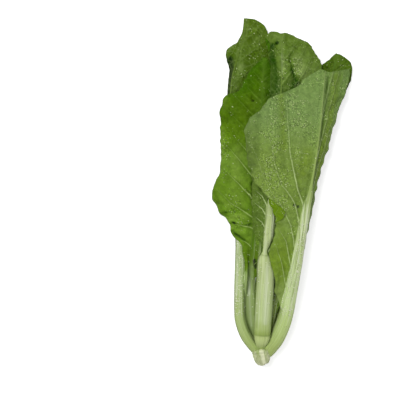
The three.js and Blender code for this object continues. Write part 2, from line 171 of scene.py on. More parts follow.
# Each leaf: which face is shown, its length, the half-width of its rib at the foot and at the tip,
# the height of the quilting between its veins, and curves over the share or the distance along it.
# midrib is a path of (x, y, z). neck and depth are factors on the rib's width and thickness, and
# rib_aside moves the rib sideways. pale is the half-width of the pale band along the midrib, which
# reaches at most pale_over beyond the rib. tip moves the end of the leaf onwards, by w.
# Each side: the width and the lean of the blade, its curl in degrees, the height and the length of
# the waves at its margin, the veins as paths of (w, x), and a factor on the teeth of the margin.
LEAVES = {
    "outer_leaf_right": dict(
        face_up="outer", length=258.2, rib=(6.4, 0.5), pleat=0.5, pale_over=2.4,
        neck=[(-8, 0.7), (0, 0.98), (12, 1.04)],
        midrib=[
            (3.6, -3.4, 12.2), (7.4, 3.4, 13.8), (13, 11.5, 15.6), (19.8, 28, 18.5), (25.2, 52, 21.5),
            (30.6, 80, 24), (35.6, 108, 26), (40.8, 138, 27.5), (46.4, 170, 28.5), (50.6, 200, 28.5),
            (53.8, 230, 26.5), (56.3, 253.5, 23),
        ],
        pale=[
            (0.2, 6.4), (0.3, 5.4), (0.38, 5), (0.46, 4.8), (0.5, 4.2), (0.54, 2.8), (0.58, 1.4),
            (0.62, 0.75), (0.8, 0.45), (1, 0.3),
        ],
        tip=[(-12, -1), (-4, 0.4), (3, -0.6), (10, 1.5), (18, 4.5), (27, 8)],
        left=dict(
            curl=-14, waves=(1.3, 27),
            lean=[(0, 12), (0.33, 16.2), (0.5, 13.4), (0.65, 9), (0.85, 8), (1, 2)],
            teeth=[(0.34, 0.5), (0.46, 1.9)],
            width=[
                (0.11, 0), (0.15, 6), (0.187, 11.4), (0.21, 15.4), (0.233, 15.8), (0.262, 18.6),
                (0.306, 24.2), (0.338, 27.2), (0.365, 26.8), (0.407, 25), (0.456, 26.5), (0.522, 36),
                (0.584, 53), (0.645, 60), (0.753, 66.5), (0.789, 64.5), (0.849, 53), (0.882, 46.5),
                (0.905, 38), (0.92, 31), (0.93, 25), (0.945, 21), (0.963, 17.6), (0.976, 13.5), (0.985, 10),
                (1, 5),
            ],
            veins=[
                [(4, 45), (6, 60), (14, 80), (24, 98), (35, 115), (60, 155)],
                [(3.5, 62), (5, 78), (14, 100), (28, 118), (45, 138), (62, 165)],
                [(4, 84), (5, 96), (12, 115), (25.6, 133.5), (35.2, 142), (45, 155), (62, 188)],
                [
                    (3.6, 78), (4.4, 98), (4.9, 119), (12.5, 135.8), (20.6, 144.3), (26.2, 148.5),
                    (32.5, 160.1), (35.7, 166.5), (42.7, 186.7), (52, 220),
                ],
                [
                    (3, 125), (3.8, 135), (11.7, 147.7), (19.6, 167.3), (24.3, 180.7), (27.5, 197.2),
                    (29.9, 209.4), (33.4, 233.6), (36, 252),
                ],
            ],
        ),
        right=dict(
            curl=-4, waves=(0.4, 24),
            lean=[
                (0, -78), (0.2, -70), (0.3, -61), (0.5, -58), (0.6, -60), (0.7, -50), (0.85, -36), (1, -22),
            ],
            teeth=[(0, 0.38), (1, 0.38)],
            width=[
                (0.2, 0), (0.4, 8), (0.55, 10.4), (0.65, 13), (0.73, 16), (0.83, 18.2), (0.89, 21.5),
                (0.95, 24.5), (0.985, 27), (1, 25.5),
            ],
            veins=pinnate(60, 250, 38, 6),
        ),
    ),
    "outer_leaf_front": dict(
        face_up="outer", length=288.1, rib=(7.8, 0.5), pleat=0.6,
        neck=[
            (-6, 0.3), (0, 0.5), (7, 0.8), (13, 0.96), (22, 1.02), (40, 1.14), (58, 1.26), (74, 1.32),
            (84, 1.1), (90, 1), (130, 1),
        ],
        depth=[(-6, 0.66), (6, 0.76), (11.6, 0.82), (14.4, 1), (20, 1)],
        rib_aside=[
            (66, 0), (74, -1.1), (82, -2.3), (85, -2.6), (88.5, -2.3), (94, -1.3), (100, -0.6), (108, 0),
            (118, 0.5), (127, -0.8), (150, 0),
        ],
        midrib=[
            (-1.9, -2, 10.8), (-1.6, 2.4, 14.2), (-1.1, 7.4, 18.4), (-0.5, 13, 20.9), (0.2, 27, 21.6),
            (2, 55, 21.8), (4.2, 88, 21.9), (6.5, 122, 22), (9.8, 156, 22), (13, 190, 22),
            (15.6, 222, 21.6), (17.4, 254, 20.4), (16.8, 289.5, 18),
        ],
        pale=[
            (0.25, 7.6), (0.271, 6.4), (0.285, 4.8), (0.295, 3.0), (0.307, 1.7), (0.326, 2.4), (0.347, 3.6),
            (0.375, 4.4), (0.41, 4.6), (0.441, 3.3), (0.475, 2.1), (0.6, 1.5), (0.75, 0.7), (0.85, 0.3),
            (1, 0.2),
        ],
        tip=[(-14, -1.5), (-9, 0.6), (-4, 0.2), (0, -1.6), (4, -0.8), (8, -1.6), (14, -3.2)],
        left=dict(
            curl=-8, waves=(0.7, 21), lean=[(0, -5), (0.3, -8), (0.7, -8), (1, -5)],
            width=[
                (0.3, 0), (0.33, 5), (0.352, 11.4), (0.379, 15), (0.425, 16.5), (0.526, 19), (0.65, 17),
                (0.75, 11), (0.8, 9.8), (0.9, 10.6), (0.93, 11.8), (0.95, 12.4), (0.975, 13.6), (0.99, 14),
                (1, 9),
            ],
            veins=[
                [(0, 92), (6, 99), (14, 104), (22, 109)],
                [(0, 104), (6.8, 114.1), (14.8, 119.3), (22, 124)],
                [(0, 115), (7.4, 125.9), (17.6, 132.8), (24, 137)],
                [(2, 124), (4.3, 130.2), (8.5, 137.1), (17.1, 143.2), (24, 148)],
            ] + pinnate(145, 280, 17, 1.3, 0.01),
        ),
        right=dict(
            curl=-8, waves=(1.1, 25), lean=[(0, -6), (0.4, -10), (0.7, -12), (0.9, -6), (1, -4)],
            width=[
                (0.28, 0), (0.34, 8), (0.42, 15), (0.5, 24), (0.62, 32), (0.75, 38), (0.85, 39),
                (0.903, 37), (0.941, 30.5), (0.967, 25.5), (0.987, 19.5), (1, 13),
            ],
            veins=pinnate(88, 275, 19, 1.25, 0.012),
        ),
    ),
    "outer_leaf_left": dict(
        face_up="outer", length=305.9, rib=(4.7, 0.5), pleat=0.5,
        neck=[(-8, 0.7), (0, 0.86), (14, 1), (40, 1.04), (72, 1.26), (110, 1.34), (150, 1.1)],
        midrib=[
            (-3.2, -2.6, 12.4), (-8, 3.2, 12.6), (-14.4, 12.4, 13.4), (-18.8, 23.2, 13.6),
            (-20.5, 33.3, 13.2), (-20.5, 52, 12), (-19.6, 78, 8.8), (-19.8, 104, 6.4), (-24.3, 138, 4.8),
            (-27, 172, 4.4), (-28.8, 212, 4.8), (-27.6, 244.5, 6), (-23, 265, 7.3), (-19, 279.5, 7.8),
            (-15.9, 291.5, 8.4), (-14.2, 303.5, 9.2),
        ],
        pale=[(0.25, 4.6), (0.33, 3.2), (0.45, 2.2), (0.6, 1.4), (0.75, 0.6), (0.85, 0.4), (1, 0.25)],
        left=dict(
            curl=-6, waves=(0.6, 21), lean=[(0, -6), (0.4, -20), (0.7, -26), (0.85, -16), (1, -10)],
            width=[
                (0.3, 0), (0.4, 8), (0.55, 10), (0.7, 8), (0.77, 3), (0.82, 3.2), (0.85, 6), (0.87, 10),
                (0.895, 12), (0.91, 8.4), (0.93, 3.5), (0.96, 1.8), (1, 2),
            ],
            veins=pinnate(90, 296, 19, 1.2, 0.01),
        ),
        right=dict(
            curl=0, waves=(0.8, 26), lean=[(0, 0), (0.5, -3), (0.8, 1), (1, 5)],
            width=[
                (0.28, 0), (0.4, 13), (0.5, 20), (0.6, 25), (0.7, 28), (0.82, 31.5), (0.9, 31.5),
                (0.93, 28), (0.945, 24.6), (0.971, 20.5), (0.985, 17), (0.994, 13), (1, 8),
            ],
            veins=pinnate(82, 296, 20, 1.25, 0.008),
        ),
    ),
    "back_leaf_left": dict(
        face_up="inner", length=266.3, rib=(5.4, 0.5), pleat=0.9, neck=[(-8, 0.5), (0, 0.62), (13, 1)],
        midrib=[
            (-2.6, -3, 10), (-4.9, 2.2, 9.6), (-9.4, 16, 9.3), (-10.8, 34, 9.2), (-11.2, 62, 10),
            (-8.6, 92, 11.4), (-5.6, 122, 12.2), (-3.2, 152, 12.6), (-1.6, 182, 12.8), (-0.6, 212, 12.8),
            (0.6, 240, 12.6), (2, 267, 11.8),
        ],
        pale=[(0.23, 4.4), (0.29, 3.0), (0.36, 1.8), (0.5, 1.1), (0.7, 0.7), (1, 0.3)],
        left=dict(
            curl=-16, waves=(1.4, 22), lean=[(0, 3), (0.4, 6), (0.7, 0), (1, 4)],
            width=[
                (0.02, 0), (0.06, 5.4), (0.2, 5), (0.28, 5.4), (0.31, 7.6), (0.35, 10.5), (0.372, 17),
                (0.396, 22), (0.42, 23), (0.45, 32), (0.482, 38), (0.508, 41.5), (0.531, 42.4), (0.557, 40),
                (0.586, 37), (0.65, 36), (0.778, 38), (0.849, 36.5), (0.87, 30), (0.883, 22), (0.909, 18),
                (0.942, 14), (0.97, 8.5), (1, 2),
            ],
            veins=[
                [(0, 74), (10, 80), (24, 86), (42, 92)],
                [(0, 92), (8, 97), (24, 100), (42, 104)],
                [(0, 109), (4.4, 110.5), (24.8, 112.5), (42, 119)],
                [(0, 118), (6.4, 121.7), (24.5, 131.5), (42, 146)],
                [(0, 132.5), (6.2, 138.5), (19.8, 151.2), (31.6, 160.8), (44, 170)],
                [(0, 151), (8.7, 160), (21.1, 174.4), (32.3, 185.6), (44, 196)],
                [(0, 169), (10.2, 178.1), (19.1, 187.5), (30, 200), (44, 214)],
            ] + pinnate(187, 262, 19, 0.95),
        ),
        right=dict(
            curl=3, waves=(0.5, 24), lean=[(0, 0), (0.4, -3), (1, -2)],
            width=[
                (0.22, 0), (0.26, 6.4), (0.33, 9), (0.42, 12), (0.5, 15), (0.6, 19), (0.75, 20), (0.88, 15),
                (0.96, 9), (1, 3),
            ],
            veins=pinnate(74, 262, 19, 1.0),
        ),
    ),
    "back_leaf_right": dict(
        face_up="inner", length=276.2, rib=(4.8, 0.5), pleat=0.4, neck=[(-8, 0.5), (0, 0.62), (13, 1)],
        midrib=[
            (3, -2.6, 10), (4.9, 2.9, 9.6), (9.6, 16, 9.3), (12.4, 30, 9.2), (19, 60, 8.6), (26.4, 94, 7.4),
            (34.4, 130, 5.8), (43, 166, 4.4), (52, 202, 3.8), (61, 237, 5.2), (69.5, 271, 8.5),
        ],
        pale=[(0.2, 4), (0.3, 2.4), (0.45, 1.4), (0.7, 0.8), (1, 0.4)],
        left=dict(
            curl=4, waves=(0.5, 25), lean=[(0, 0), (1, 4)],
            width=[
                (0.24, 0), (0.4, 11), (0.55, 21), (0.7, 26), (0.82, 25), (0.9, 19), (0.949, 11.3),
                (0.985, 4.5), (1, 1.5),
            ],
            veins=pinnate(78, 270, 19, 1.05),
        ),
        right=dict(
            curl=-6, waves=(0.5, 19), lean=[(0, -4), (0.7, -10), (0.9, -6), (1, 2)],
            width=[
                (0.24, 0), (0.4, 6), (0.55, 8), (0.7, 12), (0.82, 14.5), (0.9, 17.5), (0.939, 18.5),
                (0.964, 17), (0.982, 14), (0.992, 9), (1, 3),
            ],
            veins=pinnate(78, 270, 18, 1.2),
        ),
    ),
    "back_leaf_middle": dict(
        face_up="inner", length=235.9, rib=(6, 0.5), pleat=0.2,
        midrib=[
            (-0.2, -4.5, 7.4), (0, 2.4, 5.5), (0.2, 20, 4.4), (0.6, 45, 3.7), (1.6, 85, 2.6), (3, 125, 1.7),
            (5, 165, 1), (7.2, 203, 0.5), (9, 238, 0.4),
        ],
        pale=[(0.2, 5), (0.3, 3.4), (0.45, 2), (0.7, 1), (1, 0.4)],
        left=dict(
            curl=-3, waves=(0.4, 24), lean=[(0, 0), (0.3, -3), (1, -1)],
            width=[(0.36, 0), (0.42, 9), (0.5, 16), (0.65, 24), (0.8, 24), (0.9, 18), (0.97, 9), (1, 2)],
            veins=pinnate(60, 230, 19, 1.0),
        ),
        right=dict(
            curl=-3, waves=(0.4, 24), lean=[(0, 0), (0.3, -3), (1, -1)],
            width=[(0.2, 0), (0.35, 9), (0.5, 17), (0.65, 23), (0.8, 24), (0.9, 18), (0.97, 9), (1, 2)],
            veins=pinnate(66, 230, 19, 1.0),
        ),
    ),
    "inner_leaf_right": dict(
        face_up="inner", length=162.9, rib=(2.8, 0.4), pleat=0.3,
        midrib=[
            (2.4, 3, 12.2), (3.4, 6.5, 12.4), (5, 14, 12.9), (9, 30, 13.6), (13.8, 58, 14),
            (19.6, 90, 14.2), (27, 126, 13.8), (36, 166, 13),
        ],
        pale=[(0.1, 3), (0.3, 1.8), (0.6, 1), (1, 0.3)],
        left=dict(
            curl=4, waves=(0.6, 15), lean=[(0, 4), (1, 2)],
            width=[(0.1, 0), (0.25, 4.5), (0.5, 9), (0.75, 13), (0.9, 9), (1, 1)],
            veins=pinnate(22, 158, 11, 1.1),
        ),
        right=dict(
            curl=4, waves=(0.6, 15), lean=[(0, 4), (1, 0)],
            width=[(0.1, 0), (0.25, 5.5), (0.5, 10), (0.75, 13), (0.9, 9), (1, 1)],
            veins=pinnate(26, 158, 11, 1.1),
        ),
    ),
    "inner_leaf_left": dict(
        face_up="inner", length=147.3, rib=(2.8, 0.4), pleat=0.3,
        midrib=[
            (-1.6, 4, 13.4), (-2.8, 9, 13.9), (-4.4, 30, 13.9), (-3.8, 58, 14), (-2.2, 90, 14.6),
            (-0.2, 126, 15), (1.2, 156, 15),
        ],
        pale=[(0.1, 3), (0.3, 1.8), (0.6, 1), (1, 0.3)],
        left=dict(
            curl=4, waves=(0.5, 15), lean=[(0, 4), (1, 2)],
            width=[(0.5, 0), (0.62, 5), (0.75, 8), (0.9, 6), (1, 1)], veins=pinnate(22, 148, 11, 1.1),
        ),
        right=dict(
            curl=4, waves=(0.5, 15), lean=[(0, 4), (1, 2)],
            width=[(0.3, 0), (0.5, 7), (0.75, 10), (0.9, 8), (1, 1)], veins=pinnate(26, 148, 11, 1.1),
        ),
    ),
    "heart_leaf_front": dict(
        face_up="outer", length=62.2, rib=(2, 0.4), pleat=0.2,
        midrib=[(-0.8, 2.6, 15.9), (-0.6, 6, 16.4), (0, 26, 17.2), (1.6, 46, 17.6), (4, 68, 17.4)],
        pale=[(0.1, 2.2), (0.4, 1.2), (1, 0.3)],
        left=dict(
            curl=-4, waves=(0.3, 9), lean=[(0, -3), (1, -3)],
            width=[(0.08, 0), (0.3, 3.6), (0.65, 6), (0.88, 4), (1, 1)], veins=pinnate(10, 60, 6, 1.1),
        ),
        right=dict(
            curl=-4, waves=(0.3, 9), lean=[(0, -3), (1, -3)],
            width=[(0.08, 0), (0.3, 3.6), (0.65, 6), (0.88, 4), (1, 1)], veins=pinnate(13, 60, 6, 1.1),
        ),
    ),
    "heart_leaf_back": dict(
        face_up="inner", length=46.6, rib=(1.6, 0.4), pleat=0.2,
        midrib=[(0.1, 5.5, 10), (0.2, 9.5, 10.1), (0.8, 24, 10.5), (1.4, 40, 10.9), (2.4, 56, 10.9)],
        pale=[(0.1, 1.8), (0.4, 1), (1, 0.3)],
        left=dict(
            curl=3, waves=(0.2, 8), lean=[(0, 3), (1, 3)],
            width=[(0.08, 0), (0.35, 3), (0.7, 4), (0.9, 2.6), (1, 1)], veins=pinnate(8, 44, 5, 1.1),
        ),
        right=dict(
            curl=3, waves=(0.2, 8), lean=[(0, 3), (1, 3)],
            width=[(0.08, 0), (0.35, 3), (0.7, 4), (0.9, 2.6), (1, 1)], veins=pinnate(10, 44, 5, 1.1),
        ),
    ),
}

# Creases and dents of single leaves: (x0, w0, x1, w1, reach, height). A crease is a ridge or, with a
# negative height, a valley on the shown side.
CREASES = {
    "outer_leaf_right": [
        (240, -39, 165, -27, 4, -0.9), (235, -30, 165, -18, 3.5, 0.5), (215, -52, 160, -46, 6, 0.6),
        (250, 3, 150, 4, 2.2, -0.5), (110, -10, 130, -22, 3, -0.8),
    ],
    "outer_leaf_front": [
        (266, 7.4, 240, 14, 1.7, -1.8), (258, 11.5, 238, 17, 1.6, 0.9), (280, 4, 222, 9, 3, 0.8),
        (278.3, -3.2, 277, -4, 1.3, -2.4), (225, -5, 272, -4, 3, -0.9), (262, 22, 225, 30, 3, -0.6),
    ],
    "outer_leaf_left": [
        (288, 4, 250, 8, 3, 0.8), (280, 12, 240, 20, 3, -0.7), (230, -3, 285, -3, 2.5, 0.8),
    ],
    "back_leaf_left": [
        (113.4, -19.8, 112, -21.5, 1.4, -2.4), (228, -8.4, 230, -9.6, 1.2, -1.8),
        (104, -30, 116, -12, 2.4, 1.6), (121, -34, 126, -10, 2.6, -1.6), (96, -8, 108, -16, 2.4, 1.3),
        (131, -38, 138, -14, 3.2, 1.4), (170, -10, 215, -30, 5, 0.8), (141, -40, 119, -26, 1.8, -1.2),
    ],
}

# A turned-over margin: (side, start, stop, width of the flap, turn in degrees).
FLAPS = {
    "outer_leaf_right": [("left", 113.5, 137.5, 12.5, 168)],
    "outer_leaf_front": [("left", 266, 287, 6, 150)],
}

# A frilled stretch of a margin: (side, start, stop, height, wavelength).
FRILLS = {
    "back_leaf_left": [("left", 92, 152, 2.6, 12), ("left", 190, 250, 1.2, 17)],
    "outer_leaf_front": [("left", 250, 289, 1.2, 9)],
}


# ---------------------------------------------------------------- stem base, pile and beads

STEM_CENTRE = np.array([-0.8, -1.6, 12.5])
STEM_TURN = math.radians(9)
STEM_LOW, STEM_HIGH = -12.3, 3.2  # where its axis starts and ends
STEM_SIDES = 120
# Radius, and distance along the axis.
STEM_OUTLINE = [
    (0, -11.9), (2.2, -12.0), (3.8, -12.1), (4.5, -11.7), (5.3, -10.7), (6.2, -9.2), (7.1, -6.6), (7.7, -4),
    (8.0, -1.4), (8.2, 0.8), (7.6, 2.3), (5.5, 3.0), (0, 3.2),
]

# From the table upwards.
PILE_ORDER = [
    "back_leaf_middle", "back_leaf_right", "outer_leaf_left", "back_leaf_left", "heart_leaf_back",
    "inner_leaf_right", "inner_leaf_left", "heart_leaf_front", "outer_leaf_front", "outer_leaf_right",
]
# Beads of water: sides, rings as (radius, height) and the two ends, in radii.
DROP_SIDES, DROP_RINGS = 9, ((1.0, -0.12), (0.96, 0.16), (0.74, 0.42), (0.38, 0.57))
DROP_TOP, DROP_BASE = 0.62, 0.12
DROP_SMALL, DROP_MORE = 0.21, 0.3  # the smallest radius, and how much larger the largest is
DROP_COVER, DROP_SLOPE, DROP_EDGE = 1.2, 0.35, 1.5  # they lie in the open, level and off the margin

# How many beads a leaf has, and where they are likelier.
DROPS = {
    "outer_leaf_right": (210, lambda x, w: 0.9 * smooth(110, 170, x) * smooth(8, -8, w)),
    "outer_leaf_front": (50, lambda x, w: 1.2 * smooth(200, 240, x)),
    "outer_leaf_left": (48, lambda x, w: 0.8 * smooth(95, 60, x) + 0.3),
    "back_leaf_left": (30, lambda x, w: 0.4),
    "back_leaf_right": (12, lambda x, w: 0.4),
}

# The map for the bake: where each face of a leaf starts, their width, a rim, a cap and the beads.
MAP_START, MAP_HALF, MAP_WIDTH = 0.02, 0.53, 0.45
MAP_RIM, MAP_CAP, MAP_DROPS = 0.006, 0.01, 0.995
SHADE_AND_TONE_BELOW = 0.08  # how much of the patches is left on the lower face

# ---------------------------------------------------------------- colours, in sRGB, 0 to 255

# The first is near black: painted deep shade in holes and gaps between leaves, and a few dark specks.
DEEP_SHADE_AND_SPECKS, OLIVE_GREEN = (18, 32, 4), (112, 138, 14)
# Paler and darker tone of the blade, and the painted highlights and painted shade that the bands lay on it.
PALE_OUTER, PALE_INNER, DARK_INNER = (150, 174, 98), (134, 164, 66), (34, 66, 2)
VEIN_OUTER, VEIN_INNER = (188, 207, 142), (156, 182, 100)
# On petioles: the first darkens with painted shade and darker tone, the second lightens with painted
# highlights and pale streaks.
STALK_SHADE, STALK_PALE_AND_HIGHLIGHT = (112, 138, 56), (226, 234, 206)
STREAK, STRAND = (140, 164, 82), (222, 231, 192)
# Dew is painted: a glint on each bead and a painted shadow on one side of it.
DEW_SHADE, DEW_GLINT_ON_BLADE, DEW_GLINT_ON_STALK = (48, 70, 16), (198, 218, 146), (236, 242, 208)
BLEMISH, DRY_MARGIN = (46, 62, 18), (84, 98, 46)
# The pale base colours of the beads of water are painted glints.
BEAD_GLINT_DIM, BEAD_GLINT_BRIGHT = (176, 200, 122), (206, 224, 160)
# The third is a painted highlight down the upper side of the stem base.
STEM_FIBRE, STEM_CLOUD, STEM_HIGHLIGHT = (222, 225, 186), (142, 158, 84), (242, 246, 204)
STEM_GRAIN, STEM_SPOT = (170, 160, 112), (112, 98, 62)
STEM_SKIN = [(0, (178, 187, 134)), (0.3, (176, 188, 128)), (0.7, (172, 187, 116)), (1, (158, 178, 98))]
STEM_RINGS = [
    (0, (206, 212, 172)), (0.55, (212, 218, 182)), (0.68, (158, 168, 104)), (0.76, (198, 206, 156)),
    (1, (142, 150, 92)),
]
FLOOR_GREY, FLOOR_GLOW, SKY_GLOW = (0.86, 0.86, 0.86, 1), 0.6, 0.29
DEW_SCALE = 0.72  # cells in a millimetre
DEW_SHIFT = (0.42, 0.3, 0.0)  # from a bead to its dark side
# Heights of what is only relief in the materials, in metres.
RELIEF = dict(
    net=0.00009, fine=0.00004, line=0.00022, grain=0.00012, mottle=0.0005, wrinkles=0.0004,
    ridges=0.00045, bead=0.0002, stem_fibres=0.0004, stem_grain=0.00025,
)

# Ramps over the share of a leaf, and how strong each marking of a leaf is.
PLAIN_LOOK = dict(
    vein=0.6, vein_fade=(0.0, 2.0), vein_rest=0.3, net=0.2, marks=1.0, dew=0.4, stalk_dew=0.3,
    # dark: the colour of the darker tone and of painted shade on the outer face.
    specular=0.1, dark=(36, 62, 3),
    outer=[
        (0.15, (140, 160, 90)), (0.3, (118, 147, 38)), (0.45, (122, 150, 60)), (0.65, (122, 149, 62)),
        (0.85, (121, 150, 79)), (1, (116, 146, 73)),
    ],
    inner=[
        (0.3, (96, 130, 18)), (0.42, (112, 150, 40)), (0.54, (104, 140, 32)), (0.64, (111, 146, 44)),
        (0.74, (95, 131, 16)), (0.84, (80, 116, 8)), (0.9, (64, 105, 2)),
    ],
    outer_stalk=[
        (0, (176, 196, 114)), (0.1, (200, 222, 142)), (0.2, (212, 233, 164)), (0.45, (208, 226, 158)),
        (0.6, (160, 184, 100)), (0.8, (142, 166, 86)), (1, (124, 150, 74)),
    ],
    inner_stalk=[
        (0, (146, 168, 80)), (0.2, (142, 166, 72)), (0.5, (140, 166, 84)), (0.7, (100, 134, 38)),
        (1, (84, 120, 22)),
    ],
)

# Where a leaf differs from that.
LOOKS = {
    "outer_leaf_right": dict(
        vein=0.72, dew=0.34, stalk_dew=0.6, marks=1.25, vein_fade=(0.62, 0.85), vein_rest=0.3,
        inner=[
            (0.3, (100, 132, 18)), (0.42, (106, 140, 4)), (0.54, (100, 134, 2)), (0.7, (88, 124, 10)),
            (0.9, (62, 104, 2)),
        ],
    ),
    "outer_leaf_front": dict(
        vein=1.0, vein_fade=(0.56, 0.62), vein_rest=0.05, dew=0.25, stalk_dew=0.15, dark=(40, 76, 0),
        specular=0.04,
        outer=[(0.3, (94, 121, 40)), (0.6, (102, 128, 50)), (0.85, (99, 127, 45)), (1, (95, 123, 38))],
        outer_stalk=[
            (0, (190, 208, 132)), (0.03, (204, 221, 146)), (0.041, (200, 217, 140)),
            (0.048, (160, 182, 96)), (0.07, (182, 201, 128)), (0.1, (198, 216, 152)),
            (0.3, (204, 219, 156)), (0.5, (180, 200, 128)), (0.7, (124, 150, 66)), (1, (104, 132, 48)),
        ],
    ),
    "outer_leaf_left": dict(
        vein=0.06, dew=0.2, stalk_dew=0.8, dark=(24, 48, 0), specular=0.05,
        outer=[(0.3, (92, 118, 36)), (0.7, (76, 104, 12)), (0.85, (74, 103, 10)), (1, (82, 109, 16))],
        outer_stalk=[
            (0, (174, 194, 116)), (0.1, (182, 203, 130)), (0.3, (184, 205, 142)), (0.6, (136, 160, 80)),
            (0.78, (96, 124, 34)), (1, (92, 119, 26)),
        ],
    ),
    "back_leaf_left": dict(
        vein=1.0, vein_fade=(0.66, 0.72), vein_rest=0.06, dew=0.15, specular=0.03, stalk_dew=0.08,
        inner_stalk=[
            (0, (150, 170, 104)), (0.2, (164, 186, 118)), (0.265, (156, 180, 108)), (0.3, (98, 132, 28)),
            (0.36, (92, 130, 18)), (1, (80, 118, 16)),
        ],
        net=0.12, marks=0.35,
    ),
    "back_leaf_right": dict(
        vein=0.2, inner=[(0.3, (88, 118, 26)), (1, (76, 106, 12))], specular=0.08, marks=0.3,
        inner_stalk=[
            (0, (140, 158, 80)), (0.25, (134, 154, 72)), (0.5, (110, 138, 52)), (1, (84, 120, 22)),
        ],
    ),
    "back_leaf_middle": dict(vein=0.4, specular=0.08),
}

